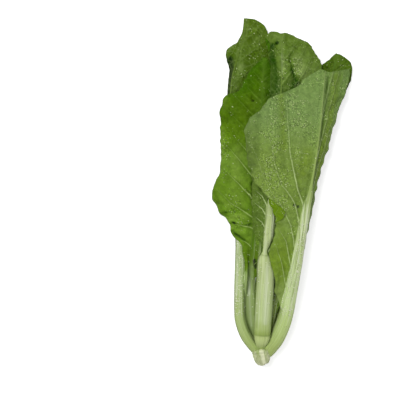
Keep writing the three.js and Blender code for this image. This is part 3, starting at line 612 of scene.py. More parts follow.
# Darker (negative) or paler bands of a leaf, as (x0, w0, x1, w1, reach, strength).
# Most are painted shade in gaps, holes, folds and under other leaves, or painted highlights and sheen on
# petioles and folds; the rest is the leaf's own paler or darker tone.
SHADE_AND_TONE_BANDS = {
    "outer_leaf_right": [
        (150, 8, 250, 18, 7, -0.3), (120, 6, 160, 8, 3, -0.3), (238, -37, 165, -28, 4, -0.4),
        (165, -6, 140, -3, 5, -0.3), (88, -14, 105, -22, 6, -0.3), (238, -16, 190, -14, 9, 0.2),
        (225, -52, 160, -50, 8, 0.15), (116, -36, 136, -38, 6, 0.7), (140, -58, 205, -66, 4, -0.45),
        (170, 12, 235, 20, 1.4, 0.6), (150, 7, 205, 11, 1.0, 0.6), (150, 2.6, 253, 3, 1.7, -0.75),
        (138, -3.6, 117, -2.2, 0.6, 0.9), (117, -2.2, 84, 0.3, 0.7, 0.9), (84, 0.3, 40, 0.8, 1.0, 0.5),
        (136, -0.6, 117, 1.4, 0.7, 0.8), (117, 1.4, 84, 3.2, 0.8, 0.8), (84, 3.2, 50, 3, 1.0, 0.5),
        (100, -3.6, 60, -4.4, 0.8, 0.6), (138, -2.2, 117, -0.6, 0.5, -1.0),
        (117, -0.6, 98.7, 0.6, 0.5, -1.0), (98.7, 0.6, 80, 1.7, 0.5, -0.6),
        (123.4, -4.6, 116.5, -3.9, 0.5, -0.9), (116.5, -3.9, 98.7, -2, 0.5, -0.9),
        (98.7, -2, 78, -1, 0.5, -0.5), (133.4, -12, 133.2, -12, 0.95, -6),
        (132.6, -8.5, 132.4, -8.4, 0.85, -6), (251, 9.5, 196, 7.5, 1.1, 0.5),
        (248, 3.2, 170, 3.8, 1.0, -0.25), (226, -57, 158, -54, 6, -0.7), (105, -27, 86, -27, 6, 0.35),
        (132, -20, 90, -12, 8, 0.25), (78, -1.4, 60, -2.6, 0.7, -0.5), (50, 3.3, 30, 3.4, 1.2, -0.3),
        (14, -3, 40, -5, 2, -0.25),
    ],
    "outer_leaf_front": [
        (226, -9, 262, -9, 5, -0.8), (262, -9, 274, -7, 3, -0.3), (104, -12, 142, -14, 7, -0.35),
        (264, 7.6, 242, 13.4, 1.2, -0.5), (246, -4, 226, -3, 3, -0.3), (244, 17, 236, 13, 4, -0.3),
        (262, 13, 246, 18, 5, 0.3), (287, -10, 283, -3, 1.6, 0.35), (215, -4, 232, 6, 7, -0.5),
        (225, 26, 262, 18, 8, 0.3), (281, -9, 286, -3, 3, 0.15), (276, -8, 262, -10, 3, -0.6),
        (250, 9, 236, 12, 3, -0.5), (241, 6, 240, 26, 3.5, -0.5), (266, 1, 236, 1.4, 2.5, 0.3),
        (140, -2.5, 104, -3.2, 2.2, -0.6), (277.8, -4.4, 278.4, -3.4, 1.2, -2.6),
        (274, -8.4, 276, -8, 1.0, -1.2), (222, -3, 262, -6, 2, -0.4), (278, 1.2, 240, 1.2, 0.9, 0.35),
        (245, -0.2, 234, 0, 2.2, -0.8), (124, 2.6, 102, 2.2, 1.3, 0.7), (98, -1.6, 86, -2.2, 0.9, 0.5),
        (76, 0, 24, 1.4, 1.9, 0.6), (76, -5.4, 20, -5, 1.8, -0.45), (74, 5.6, 24, 5.8, 1.2, -0.35),
        (150, -1, 105, -2.4, 0.9, 0.5), (85, -5.6, 84.4, 0.4, 0.6, -0.8), (92, -5, 87, -5.4, 1.2, -0.6),
        (13, -7, 13, 7, 0.8, -0.6), (262, 6.5, 253, 9.3, 2.2, -0.5), (253, 9.3, 243, 15, 2.4, -0.8),
        (99, 3, 84, 4.5, 2.2, -0.5),
    ],
    "outer_leaf_left": [
        (226, -3, 262, -6, 5, -1.3), (262, -6, 267, -6, 3.5, -1.0), (279, -9, 273, -9, 3, 0.35),
        (258, -2.4, 236, -2.4, 2.2, -1.3), (290, 10, 262, 4, 6, 0.2), (215, 20, 262, 27, 7, -0.3),
        (236, 4, 262, 5, 3, 0.4), (115, -2, 50, -2.2, 0.9, 0.8), (110, 1.2, 30, 1.6, 0.7, 0.5),
        (60, -0.4, 18, 0, 0.8, -0.35), (70, 3.4, 14, 3.6, 0.9, -0.7),
    ],
    "back_leaf_left": [
        (200, 16, 262, 12, 6, -0.6), (148, -24, 182, -22, 6, 0.4), (128, -26, 140, -22, 5, 0.3),
        (122, -4, 150, -2, 6, -0.35), (206, -34, 222, -20, 4, -0.3), (113.4, -20.2, 112.8, -18.6, 0.9, -4),
        (226.4, -8, 226.2, -8.8, 0.9, -4), (231, -14.5, 227, -9.5, 0.8, -0.9),
        (226, -34, 150, -37, 3, 0.45), (150, -6, 215, -11, 3, -0.6), (80.5, 2.6, 75, 4.4, 1.3, -6),
        (73, 1, 70, 4, 1.5, -0.6), (255, 0, 225, 6, 6, -0.35), (208, -9.4, 200, -14, 1.4, -0.5),
        (200, -14, 190, -13, 1.4, -0.5), (190, -13, 168, -9, 1.4, -0.4), (176, -18, 158, -22, 6, 0.35),
        (150, -16, 124, -14, 6, 0.35), (142, -36, 130, -31, 2.6, 0.4), (141, -40, 118, -25, 1.3, -0.4),
        (109, -24, 106, -12, 2.4, 0.5), (102, -16, 104, -4, 3, -0.5), (118, -24, 120, -10, 2.6, 0.35),
        (120, -2, 150, -4, 3, -0.5), (60, -0.5, 20, 0.6, 1.2, 0.4), (64, -0.4, 50, -0.4, 2, 0.5),
        (76, 2.4, 30, 3, 0.9, -0.5), (104, -24, 114, -4, 1.5, -0.9), (121, -34, 126, -8, 1.6, -0.8),
        (98, -8, 104, -18, 1.4, -0.9), (116, -25, 110, -8, 1.2, 0.5),
    ],
    "back_leaf_right": [(250, 4, 262, 10, 9, 0.2), (240, -4, 236, 14, 5, -0.6)],
}

# Where the dew lies thicker, as the same kind of bands.
WET = {
    "outer_leaf_right": [
        (234, -44, 186, -40, 3.4, 0.7), (186, -40, 148, -36, 5, 0.8), (249, -26, 238, -20, 6, 0.7),
        (228, -24, 196, -16, 8, 0.6), (205, -8, 180, -8, 4, 0.5), (190, -48, 150, -40, 6, 0.4),
        (150, -26, 118, -18, 4, 0.35), (118, -27, 66, -10, 11, -0.45),
    ],
    "outer_leaf_front": [
        (264, 8, 242, 18, 5, 0.6), (278, 2, 234, 3, 2.6, 0.6), (228, -9, 262, -9, 5, -0.3),
    ],
    "outer_leaf_left": [(288, 6, 240, 9, 9, 0.35), (226, -3, 282, -5, 5, -0.5)],
    "back_leaf_left": [
        (196, -32, 160, -32, 3, 0.3), (140, -10, 110, -14, 8, 0.3), (137, -27, 122, -19, 3, 0.6),
    ],
}

# Where the blade is more olive, as the same kind of bands.
OLIVE = {
    "outer_leaf_right": [
        (252, 12, 160, 7, 6, 0.55), (90, -14, 110, -22, 6, 0.15), (232, -38, 182, -29.5, 3, 0.4),
        (182, -8, 162, -9.5, 5, 0.4),
    ],
    "back_leaf_left": [(246, -2, 215, -14, 8, 0.15)],
}


# ---------------------------------------------------------------- the shape of a leaf


def vein_field(veins, x, w):
    """Which side vein a point lies on, as a number that is whole on a vein, and the distance in
    millimetres to which one unit of it comes there."""
    last = len(veins) - 1
    paths = np.array([np.interp(w, *np.array(v, float).T) for v in veins])
    for row, vein in zip(paths, veins):
        (w0, x0), (w1, x1) = vein[-2:]
        beyond = w > w1
        row[beyond] = x1 + (w[beyond] - w1) * (x1 - x0) / (w1 - w0)
    step = 0.25
    ahead, behind = (
        np.array([np.interp(w + shift, *np.array(v, float).T) for v in veins]) for shift in (step, -step)
    )
    slopes = (ahead - behind) / (2 * step)
    below = np.clip((paths <= x).sum(0) - 1, 0, last - 1)[None]
    low, high, slope, next_slope = (
        np.take_along_axis(table, below + k, 0)[0] for table in (paths, slopes) for k in (0, 1)
    )
    gap = np.maximum(high - low, 0.5)
    phase = np.clip(below[0] + (x - low) / gap, -0.5, last + 0.5)
    t = np.clip((x - low) / gap, 0, 1)
    slope = slope * (1 - t) + next_slope * t
    return phase, gap / np.sqrt(1 + slope**2)


def leaf_stations(leaf):
    """The rows of a leaf's grid: the distance along the midrib, the point, and the directions there
    along the midrib, to the right and up."""
    curve, distance = spine(leaf["midrib"])
    length = leaf["length"]
    along = distance - (distance[-1] - length)  # 0 where the CAD leaf has its foot
    x = np.linspace(along[0], length, int((length - along[0]) / SPACING) + 1)
    centre = np.array([np.interp(x, along, curve[:, k]) for k in range(3)]).T
    tangent = np.gradient(centre, x, axis=0)
    tangent /= np.linalg.norm(tangent, axis=1)[:, None]
    right = np.cross(tangent, [0, 0, 1.0])
    right /= np.linalg.norm(right, axis=1)[:, None]
    return x, centre, tangent, right, np.cross(right, tangent)


def half_surface(name, leaf, side, seed, stations, rib):
    """One side of the middle surface of a leaf, as a grid that starts on the midrib."""
    x, centre, tangent, right, up = stations
    own, sign = leaf[side], -1 if side == "left" else 1
    share = np.clip(x / leaf["length"], 0, 1)
    blade = profile(own["width"])(share)
    half = np.maximum(blade, rib + RIB_LIP)
    grown = smooth(0.5, 5, blade - rib)  # 0 on the bare petiole
    teeth = sum(height * ripple(seed + step * sign, x, 0, length) for step, height, length in TEETH)
    cut = profile(own.get("teeth", LEVEL))(share)
    half_shown = half + grown * cut * np.clip(teeth, -TEETH_MOST, TEETH_MOST)
    flap, turn = np.zeros(len(x)), 0.0
    for flap_side, start, stop, size, degrees in FLAPS.get(name, []):
        if flap_side == side:
            flap, turn = size * bulk(x, start, stop), math.radians(degrees)
    outer = half_shown + flap

    # Distances from the midrib: closer together on the rib and where the margin turns over.
    w = np.zeros((len(x), int(outer.max() / SPACING) + (11 if flap.any() else 8)))
    for i, reach in enumerate(outer):
        edges = np.linspace(0, reach, 160)
        at_fold = (edges > half_shown[i] + FOLD_FINE[0]) & (edges < half_shown[i] + FOLD_FINE[1])
        density = 1 + 1.6 * (edges < 1.15 * rib[i]) + (flap[i] > 0.6) * 3.0 * at_fold
        w[i] = spread(edges, density, w.shape[1] - 1)

    # The blade leans beside the rib, curls on towards the margin and may turn over there.
    middle = (w[:, 1:] + w[:, :-1]) / 2
    lean = np.radians(profile(own["lean"])(share))[:, None]
    curl = math.radians(own["curl"])
    theta = lean * np.minimum(1, middle / rib[:, None]) + curl * np.minimum(middle / half[:, None], 1.2)
    if turn:
        folded = smooth(0, 2.2, middle - half_shown[:, None] + 0.4)
        theta += turn * folded * smooth(0.2, 2, flap)[:, None]
    steps = np.diff(w, axis=1)
    across, rise = (
        np.c_[np.zeros(len(x)), np.cumsum(part(theta) * steps, axis=1)] for part in (np.cos, np.sin)
    )
    points = centre[:, None] + sign * across[..., None] * right[:, None] + rise[..., None] * up[:, None]
    at_tip = smooth(leaf["length"] - TIP_ZONE, leaf["length"], x)[:, None]
    ahead = profile(leaf.get("tip", NOTHING))(sign * w) * at_tip
    points = points + ahead[..., None] * tangent[:, None]

    # Waves and frills of the margin, and the quilting between the side veins.
    phase, gap = vein_field(own["veins"], np.broadcast_to(x[:, None], w.shape).ravel(), w.ravel())
    phase, gap = phase.reshape(w.shape), gap.reshape(w.shape)
    margin = outer[:, None] - w
    amplitude, wavelength = own["waves"]
    wave = np.sin(TURN * x / wavelength + 1.8 * ripple(seed + 9, x, 0, 60) + sign)
    wave = 0.7 * wave + 0.5 * ripple(seed + 11 * sign, x, 0, 0.6 * wavelength)
    push = amplitude * wave[:, None] * smooth(14, 0, margin) * grown[:, None]
    for frill_side, start, stop, height, period in FRILLS.get(name, []):
        if frill_side == side:
            swing = TURN * (x[:, None] + 0.35 * w) / period + ripple(seed, x, 0, 30)[:, None]
            push += height * bulk(x, start, stop)[:, None] * np.sin(swing) * smooth(11, 0, margin)
    push *= (1 - smooth(0.2, 3, flap)[:, None]) * smooth(0, 2 + rib[:, None], w)
    quilt = -leaf["pleat"] * np.cos(TURN * phase) * smooth(0, 9, w - 1.3 * rib[:, None])
    quilt *= smooth(0, 8, margin) * np.clip(gap / 16, 0.3, 1.1)
    half, grown = (np.broadcast_to(value[:, None], w.shape) for value in (outer, grown))
    return dict(
        w=sign * w, points=points, phase=phase, gap=gap, margin=margin, half=half, push=push,
        quilt=quilt, grown=grown,
    )


def leaf_surface(name, leaf, seed):
    """The middle surface of a leaf as a grid, with what its thickness and its looks need."""
    stations = leaf_stations(leaf)
    x = stations[0]
    share = np.clip(x / leaf["length"], 0, 1)
    foot, tip = leaf["rib"]
    rib = (tip + (foot - tip) * (1 - share) ** RIB_FALL_OFF) * profile(leaf.get("neck", DEFAULT_NECK))(x)
    pale = np.minimum(profile(leaf["pale"])(share), rib + leaf.get("pale_over", 0.3))
    left, right = (half_surface(name, leaf, side, seed, stations, rib) for side in ("left", "right"))
    grid = {key: np.concatenate([left[key][:, ::-1], right[key][:, 1:]], axis=1) for key in left}
    w = grid["w"]
    both = (left["grown"][:, :1] + right["grown"][:, :1]) / 2
    grid["grown"] = both + (grid["grown"] - both) * smooth(0, 1, np.abs(w) / rib[:, None])
    for key, value in dict(x=x, rib=rib, pale=pale, share=share).items():
        grid[key] = np.broadcast_to(value[:, None], w.shape)
    grid["off"] = np.abs(w - profile(leaf.get("rib_aside", NOTHING))(x)[:, None])
    grid["depth"] = profile(leaf.get("depth", LEVEL))(x)[:, None]
    grid["outward"] = 1 if leaf["face_up"] == "outer" else -1

    x, off_rib = grid["x"], np.abs(w) - grid["rib"]
    rough = 0.36 * ripple(seed + 21, x, w, 10, 12) + 0.5 * ripple(seed + 22, x, w, 30, 8)
    rough = rough * smooth(1.0, 5, off_rib) * smooth(0, 4, grid["half"] - grid["rib"])
    push = grid["push"] - grid["outward"] * grid["quilt"] + rough
    for *line, reach, height in CREASES.get(name, []):
        away, t = off_segment(x, w, *line)
        ends = CREASE_ENDS + (1 - CREASE_ENDS) * np.sin(math.pi * np.clip(t, 0.12, 0.88))
        push = push + height * np.exp(-((away / reach) ** 2)) * ends
    grid["points"] = grid["points"] + push[..., None] * normals(grid["points"])
    return grid


def normals(points):
    """The unit normals of a grid of points."""
    found = np.cross(np.gradient(points, axis=1), np.gradient(points, axis=0))
    return found / np.maximum(np.linalg.norm(found, axis=2), 1e-9)[..., None]


def highest(array, reach):
    """The highest value in a window round each cell of a 2-D array."""
    for axis in (0, 1):
        array = np.max([np.roll(array, shift, axis) for shift in range(-reach, reach + 1)], axis=0)
    return array


def blur(array, reach):
    """Averages a 2-D array over a window, twice along each axis."""
    width = 2 * reach + 1
    for axis in (0, 1):
        for _ in range(2):
            padded = np.pad(array, [(reach, reach) if a == axis else (0, 0) for a in (0, 1)], "edge")
            total = np.cumsum(padded, axis=axis)
            total = np.concatenate([np.zeros_like(np.take(total, [0], axis)), total], axis)
            high = np.take(total, range(width, total.shape[axis]), axis)
            low = np.take(total, range(0, total.shape[axis] - width), axis)
            array = (high - low) / width
    return array


class Pile:
    """The top of the leaves laid down so far, as heights over a grid of the table."""

    LOW, CELL, SHAPE = np.array([-80.0, -40.0]), 1.0, (200, 380)
    CLEAR = 0.25  # between leaves that lie on each other
    LEAST, MOST = 0.05, 6  # lifted at a time
    ROUND = 3.5  # how far around a place that is lifted the leaf is lifted too
    FREE_FROM = 50  # petioles lie side by side up to here, so only what is beyond is lifted
    FREE_AT = 75

    def __init__(self):
        self.top = np.zeros(self.SHAPE)

    def cells(self, points):
        index = np.floor((points[..., :2] - self.LOW) / self.CELL).astype(int)
        return tuple(np.clip(index[..., k], 0, self.SHAPE[k] - 1) for k in (0, 1))

    def settle(self, grid, under, over):
        """Lifts a leaf where it would cut into the leaves below it, then adds it to the pile."""
        points = grid["points"]
        for _ in range(3):
            support = highest(self.top, 1)[self.cells(points)]
            lift = np.maximum(0, support + self.CLEAR + under - points[..., 2])
            lift *= smooth(self.FREE_FROM, self.FREE_AT, grid["x"])
            lift = np.minimum(lift, self.MOST)
            if lift.max() < self.LEAST:
                break
            reach = max(2, int(self.ROUND / SPACING))
            points[..., 2] += blur(highest(lift, reach), reach)
        i, j = self.cells(points)
        np.maximum.at(self.top, (i.ravel(), j.ravel()), (points[..., 2] + over).ravel())


def ridge_width(grid):
    """The half-width of the raised rib, which narrows faster than its place in the blade."""
    return np.minimum(grid["rib"], 1.2 * grid["pale"] + 0.3)


def off_vein(grid):
    """The distance to the nearest side vein."""
    return np.abs(grid["phase"] - np.round(grid["phase"])) * grid["gap"]


def thicken(grid):
    """The two faces of a leaf: the middle surface moved half the thickness each way, with the rib
    and the raised veins on the outer face and the groove of the petiole on the inner face. The
    margin gets a rim on either side, as a row of points between the faces."""
    points, x, w, rib = (grid[key] for key in ("points", "x", "w", "rib"))
    bare = 1 - grid["grown"]
    half = BLADE_HALF + STALK_HALF * bare * smooth(0.4, 3, rib)
    half = half * (0.55 + 0.45 * smooth(0, 3, grid["margin"] + 3 * bare))
    ridge = ridge_width(grid)
    q = np.clip(grid["off"] / ridge, 0, 1)
    bulge = RIB_DEPTH * ridge * (1 - q**2.3) ** 0.62 * grid["depth"]
    strands = ripple(7 + int(grid["seed"]), 0.02 * x, w * 6 / np.maximum(ridge, 2), 2.4, 9)
    strands *= smooth(1.2, 4, ridge)
    bulge += 0.1 * strands * (1 - q**4)
    groove = 0.3 * ridge * (1 - q**2) ** 1.5 * smooth(1.0, 3.5, ridge)
    reach = np.clip(1.15 - 0.6 * np.abs(w) / grid["half"], 0.4, 1.2) * 1.1
    vein = np.exp(-((off_vein(grid) / reach) ** 2))
    vein = vein * smooth(1, 2.5, grid["margin"]) * smooth(-1, 1.5, np.abs(w) - rib)
    raised = VEIN_HEIGHT * vein * (1.15 - 0.8 * np.abs(w) / np.maximum(grid["half"], 8))
    shown, hidden = half + (bulge + raised), half + (-groove - 0.5 * raised)
    if grid["outward"] < 0:
        shown, hidden = hidden, shown
    n = normals(points)
    even = np.stack([blur(n[..., k], 3) for k in range(3)], axis=-1)  # keeps the hidden face from folding
    points = points.copy()
    points[..., 2] = np.maximum(points[..., 2], BLADE_HALF + 0.02)
    faces = points + n * shown[..., None], points - even * hidden[..., None]
    for face in faces:
        face[..., 2] = np.maximum(face[..., 2], 0)
    rims = []
    for column, inner in ((-1, -2), (0, 1)):
        away = points[:, column] - points[:, inner]
        away /= np.maximum(np.linalg.norm(away, axis=1), 1e-9)[:, None]
        top, bottom = (face[:, column] for face in faces)
        rims.append((top + bottom) / 2 + away * 0.7 * (np.linalg.norm(top - bottom, axis=1) / 2)[:, None])
    return *faces, *rims


# ---------------------------------------------------------------- meshes


def to_frame(points):
    return (points + HEAD_SHIFT) * MM


def inside(points):
    """Points pressed softly into the box of the CAD model, so that the size stays as it is there."""
    low, high = (np.array(corner) / MM - HEAD_SHIFT for corner in (cad_low, cad_high))
    floor, ceiling = low + PRESS, high - PRESS
    over = np.maximum(points - ceiling, 0)
    points = np.where(over > 0, ceiling + PRESS * np.tanh(over / PRESS), points)
    under = np.maximum(floor - points, 0)
    under[..., 2] = 0  # thicken keeps the points on the table
    return np.where(under > 0, floor - PRESS * np.tanh(under / PRESS), points)


def quads(grid):
    """The cells of a grid of indices or of places, each as its four corners in turn."""
    cells = np.stack([grid[:-1, :-1], grid[:-1, 1:], grid[1:, 1:], grid[1:, :-1]], axis=2)
    return cells.reshape(-1, *cells.shape[2:])


def make_mesh(name, points, faces, maps, materials, slots, values):
    """A smooth mesh object. faces are arrays of corners, each with a map of places for the bake and
    the slot of its material; values are attributes of the points."""
    mesh = bpy.data.meshes.new(name)
    sizes = np.concatenate([np.full(len(f), f.shape[1]) for f in faces])
    loops = np.concatenate([f.ravel() for f in faces])
    slot_of = np.concatenate([np.full(len(f), slot) for f, slot in zip(faces, slots)])
    mesh.vertices.add(len(points))
    mesh.vertices.foreach_set("co", to_frame(inside(points)).astype(np.float32).ravel())
    mesh.loops.add(len(loops))
    mesh.loops.foreach_set("vertex_index", loops.astype(np.int32))
    mesh.polygons.add(len(sizes))
    mesh.polygons.foreach_set("loop_start", np.r_[0, np.cumsum(sizes)[:-1]].astype(np.int32))
    mesh.polygons.foreach_set("loop_total", sizes.astype(np.int32))
    mesh.polygons.foreach_set("material_index", slot_of.astype(np.int32))
    mesh.polygons.foreach_set("use_smooth", np.ones(len(sizes), bool))
    for material in materials:
        mesh.materials.append(material)
    corners = np.concatenate([m.reshape(-1, 2) for m in maps])
    mesh.uv_layers.new(name="OFBake").uv.foreach_set("vector", corners.astype(np.float32).ravel())
    for key, value in values.items():
        kind, field = ("FLOAT_VECTOR", "vector") if value.ndim == 2 else ("FLOAT", "value")
        attribute = mesh.attributes.new(key, kind, "POINT")
        attribute.data.foreach_set(field, value.astype(np.float32).ravel())
    mesh.update(calc_edges=True)
    if mesh.validate():
        raise RuntimeError(f"{name}: the mesh had faulty faces")
    piece = bpy.data.objects.new(name, mesh)
    bpy.context.scene.collection.objects.link(piece)
    return piece


def bands(table, name, x, w):
    """The sum of a leaf's bands in a table: the strength on the line, fading with the reach."""
    total = np.zeros(x.shape)
    for *line, reach, strength in table.get(name, []):
        total += strength * np.exp(-((off_segment(x, w, *line)[0] / reach) ** 2))
    return total


def leaf_piece(name, grid, look, materials, drops):
    """The closed mesh of a leaf, with the attributes that its material reads and its beads of water."""
    top, bottom, rim_right, rim_left = thicken(grid)
    w, x = grid["w"], grid["x"]
    rows, columns = w.shape
    size = rows * columns
    points = np.concatenate([top.reshape(-1, 3), bottom.reshape(-1, 3), rim_right, rim_left])

    # Two strips of faces, each with the rims at its ends, side by side in the map for the bake.
    index = np.arange(size).reshape(rows, columns)
    right = 2 * size + np.arange(rows)[:, None]
    left = rows + right
    low, high = w.min(), w.max()
    u_top = MAP_START + MAP_WIDTH * (w - low) / (high - low)
    u_bottom = (MAP_HALF + MAP_WIDTH * (high - w) / (high - low))[:, ::-1]
    v = 0.03 + 0.94 * (x - x.min()) / (x.max() - x.min())
    faces, maps = [], []
    for strip, u in (([left, index, right], u_top), ([right, size + index[:, ::-1], left], u_bottom)):
        u = np.concatenate([u[:, :1] - MAP_RIM, u, u[:, -1:] + MAP_RIM], axis=1)
        faces.append(quads(np.concatenate(strip, axis=1)))
        maps.append(quads(np.stack([u, np.broadcast_to(v[:, :1], u.shape)], -1)))
    for row, turned, shift in ((0, slice(None, None, -1), -MAP_CAP), (-1, slice(None), MAP_CAP)):
        near, far, u = index[row], size + index[row], u_top[row]
        place = np.array([[(along, v[row, 0] + away) for along in u] for away in (0, shift)])
        (first, *_, last), (first_far, *_, last_far) = place
        rim = np.array([MAP_RIM, 0])
        ends = [[near[-1], right[row, 0], far[-1]], [left[row, 0], near[0], far[0]]]
        end_map = [[last, last + rim, last_far], [first - rim, first, first_far]]
        faces += [quads(np.stack([near, far]))[:, turned], np.array(ends)[:, turned]]
        maps += [quads(place)[:, turned], np.array(end_map)[:, turned]]

    def over(value, below=1.0):
        """A value for the upper face, the lower face (times a factor) and the two rims."""
        value = np.broadcast_to(value, w.shape)
        return np.concatenate([value.ravel(), below * value.ravel(), value[:, -1], value[:, 0]])

    off_pale = over(grid["off"] - grid["pale"])
    inner = 0.0 if grid["outward"] > 0 else 1.0
    wet, rel = look["dew"] + bands(WET, name, x, w), np.abs(w) / grid["half"]
    values = {
        "leaf_place": np.stack([over(x), over(w), over(np.float64(grid["seed"]))], -1),
        "leaf_veins": np.stack([over(part) for part in (grid["phase"], grid["gap"], rel)], -1),
        "leaf_zone": np.stack(
            [off_pale, over(grid["margin"]), over(bands(SHADE_AND_TONE_BANDS, name, x, w), SHADE_AND_TONE_BELOW)], -1
        ),
        "leaf_share": over(grid["share"]),
        "leaf_olive": over(np.clip(bands(OLIVE, name, x, w), 0, 1)),
        "leaf_wet": over(np.clip(wet, 0, 1)),
        "leaf_face": np.repeat([inner, 1 - inner, 0.5], [size, size, 2 * rows]),
    }
    slots = [0] * len(faces)
    if drops:
        drop_points, drop_faces = drops
        for corners in drop_faces:
            jitter = np.random.default_rng(3).random((*corners.shape, 2))
            faces.append(corners + len(points))
            maps.append(MAP_DROPS - 0.004 * jitter)
            slots.append(1)
        points = np.concatenate([points, drop_points])
        for key, value in values.items():
            values[key] = np.concatenate([value, np.zeros((len(drop_points), *value.shape[1:]))])
    piece = make_mesh(name, points, faces, maps, materials, slots, values)
    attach(piece, "root")
    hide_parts(name)
    return piece


def drops_on(grid, pile, count, seed, bias):
    """Beads of water on the shown face of a leaf, where no other leaf lies on it."""
    rng = np.random.default_rng(seed)
    top = thicken(grid)[0]
    n = normals(top)
    x, w = grid["x"], grid["w"]
    allowed = (top[..., 2] > pile.top[pile.cells(top)] - DROP_COVER) & (n[..., 2] > DROP_SLOPE)
    allowed &= grid["margin"] > DROP_EDGE
    weight = allowed * (0.25 + np.exp(-((off_vein(grid) / 3) ** 2)) + bias(x, w))
    weight *= np.maximum(0, 0.4 + ripple(seed, x, w, 22))
    weight *= np.abs(np.gradient(w, axis=1))
    chosen = rng.choice(weight.size, size=count, replace=False, p=(weight / weight.sum()).ravel())
    points = []
    for place in chosen:
        r, c = divmod(int(place), weight.shape[1])
        spot, out = top[r, c], n[r, c]
        side = np.cross(out, [0.3, 0.9, 0.1])
        side /= np.linalg.norm(side)
        other = np.cross(out, side)
        radius = DROP_SMALL + DROP_MORE * rng.random() ** 3
        squeeze = rng.uniform(0.8, 1.2)
        angles = np.linspace(0, TURN, DROP_SIDES, endpoint=False) + rng.uniform(0, 1)
        ring = np.cos(angles)[:, None] * side * squeeze + np.sin(angles)[:, None] * other
        points += [spot + radius * wide * ring + radius * high * out for wide, high in DROP_RINGS]
        points.append([spot + radius * DROP_TOP * out, spot - radius * DROP_BASE * out])

    around = np.arange(DROP_SIDES)
    onward = (around + 1) % DROP_SIDES
    peak = DROP_SIDES * len(DROP_RINGS)
    walls = [
        np.stack([a + around, a + onward, a + DROP_SIDES + onward, a + DROP_SIDES + around], -1)
        for a in range(0, peak - DROP_SIDES, DROP_SIDES)
    ]
    last = peak - DROP_SIDES
    fans = [
        np.stack([last + around, last + onward, 0 * around + peak], -1),
        np.stack([onward, around, 0 * around + peak + 1], -1),
    ]
    first = (peak + 2) * np.arange(count)[:, None, None]
    faces = [(first + np.concatenate(part)).reshape(-1, part[0].shape[1]) for part in (walls, fans)]
    return np.concatenate(points), faces


def stem_piece(name, material):
    """The cut stem base: a turned outline with lumps, fibres, wrinkles and a ragged cut."""
    outline, distance = spine([(r, u, 0) for r, u in STEM_OUTLINE], 240)
    path = np.linspace(0, distance[-1], 70)
    radius = np.maximum(np.interp(path, distance, outline[:, 0]), 0)[1:-1, None]
    u = np.interp(path, distance, outline[:, 1])[1:-1, None]
    turn = np.linspace(0, TURN, STEM_SIDES, endpoint=False)[None]
    ring_x, ring_y = 9 * np.cos(turn), 9 * np.sin(turn)
    lumps = 0.045 * ripple(41, ring_x, ring_y + 0.6 * u, 16) + 0.02 * ripple(42, ring_x, ring_y + u, 5)
    fibres = 0.012 * ripple(43, 9 * turn, 0.12 * u, 1.6, 9)
    wrinkle = -0.035 * np.exp(-(((u + 1.4 + 0.7 * np.sin(2 * turn + 0.6)) / 0.55) ** 2))
    wrinkle -= 0.02 * np.exp(-(((u + 5.2 + 0.5 * np.sin(3 * turn + 2)) / 0.5) ** 2))
    on_cut = smooth(-10.9, -11.7, u)
    r = radius * (1 + (lumps + fibres + wrinkle) * (1 - 0.4 * on_cut))
    side, rise = r * np.cos(turn), r * np.sin(turn)
    ragged = on_cut * (0.35 * ripple(44, side, rise, 4) - 0.5 * smooth(3.2, 1.2, radius))
    u = u + ragged + 0.9 * on_cut * side / 6
    axis = np.array([-math.sin(STEM_TURN), math.cos(STEM_TURN), 0])
    across = np.array([math.cos(STEM_TURN), math.sin(STEM_TURN), 0])
    points = STEM_CENTRE + u[..., None] * axis + side[..., None] * across
    points = points + rise[..., None] * np.array([0, 0, 1.0])
    ends = [STEM_CENTRE + STEM_LOW * axis, STEM_CENTRE + STEM_HIGH * axis]

    rows = len(points)
    index = np.arange(rows * STEM_SIDES).reshape(rows, STEM_SIDES)
    closed = np.c_[index, index[:, :1]]
    fraction = np.linspace(0, 1, STEM_SIDES + 1)
    place = np.stack(np.meshgrid(fraction, np.linspace(0.03, 0.97, rows)), -1)
    order = [0, 3, 2, 1]  # the other way round, from the same corner
    faces, maps = [quads(closed)[:, order]], [quads(place)[:, order]]
    for row, level, turned in ((0, 0.01, slice(None, None, -1)), (-1, 0.99, slice(None))):
        tip = np.full(STEM_SIDES, rows * STEM_SIDES - row)
        tip_place = np.stack([fraction[:-1] + 0.5 / STEM_SIDES, np.full(STEM_SIDES, level)], -1)
        faces.append(np.stack([closed[row, :-1], tip, closed[row, 1:]], -1)[:, turned])
        maps.append(np.stack([place[row, :-1], tip_place, place[row, 1:]], 1)[:, turned])
    around, along, cut = (np.broadcast_to(value, r.shape).ravel() for value in (turn, u, on_cut))
    stem_place = np.stack([8 * np.cos(around), 8 * np.sin(around), along], -1)
    values = {
        "stem_place": np.concatenate([stem_place, [[0, 0, -12.0], [0, 0, STEM_HIGH]]]),
        "stem_radius": np.concatenate([r.ravel(), [0, 0]]),
        "stem_cut": np.concatenate([cut, [1, 0]]),
    }
    points = np.concatenate([points.reshape(-1, 3), ends])
    piece = make_mesh(name, points, faces, maps, [material], [0, 0, 0], values)
    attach(piece, "root")
    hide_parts(name)
    return piece


# ---------------------------------------------------------------- materials


def colour(red, green, blue):
    """An sRGB colour, 0 to 255, as Blender's linear one."""
    parts = [c / 255 for c in (red, green, blue)]
    return tuple(c / 12.92 if c <= 0.04045 else ((c + 0.055) / 1.055) ** 2.4 for c in parts) + (1.0,)


def math_call(operation):
    """A Graph method that joins any number of values, two at a time, by a maths node."""

    def call(self, first, *others):
        for other in others:
            first = self.node("ShaderNodeMath", {0: first, 1: other}, operation=operation).outputs[0]
        return first

    return call


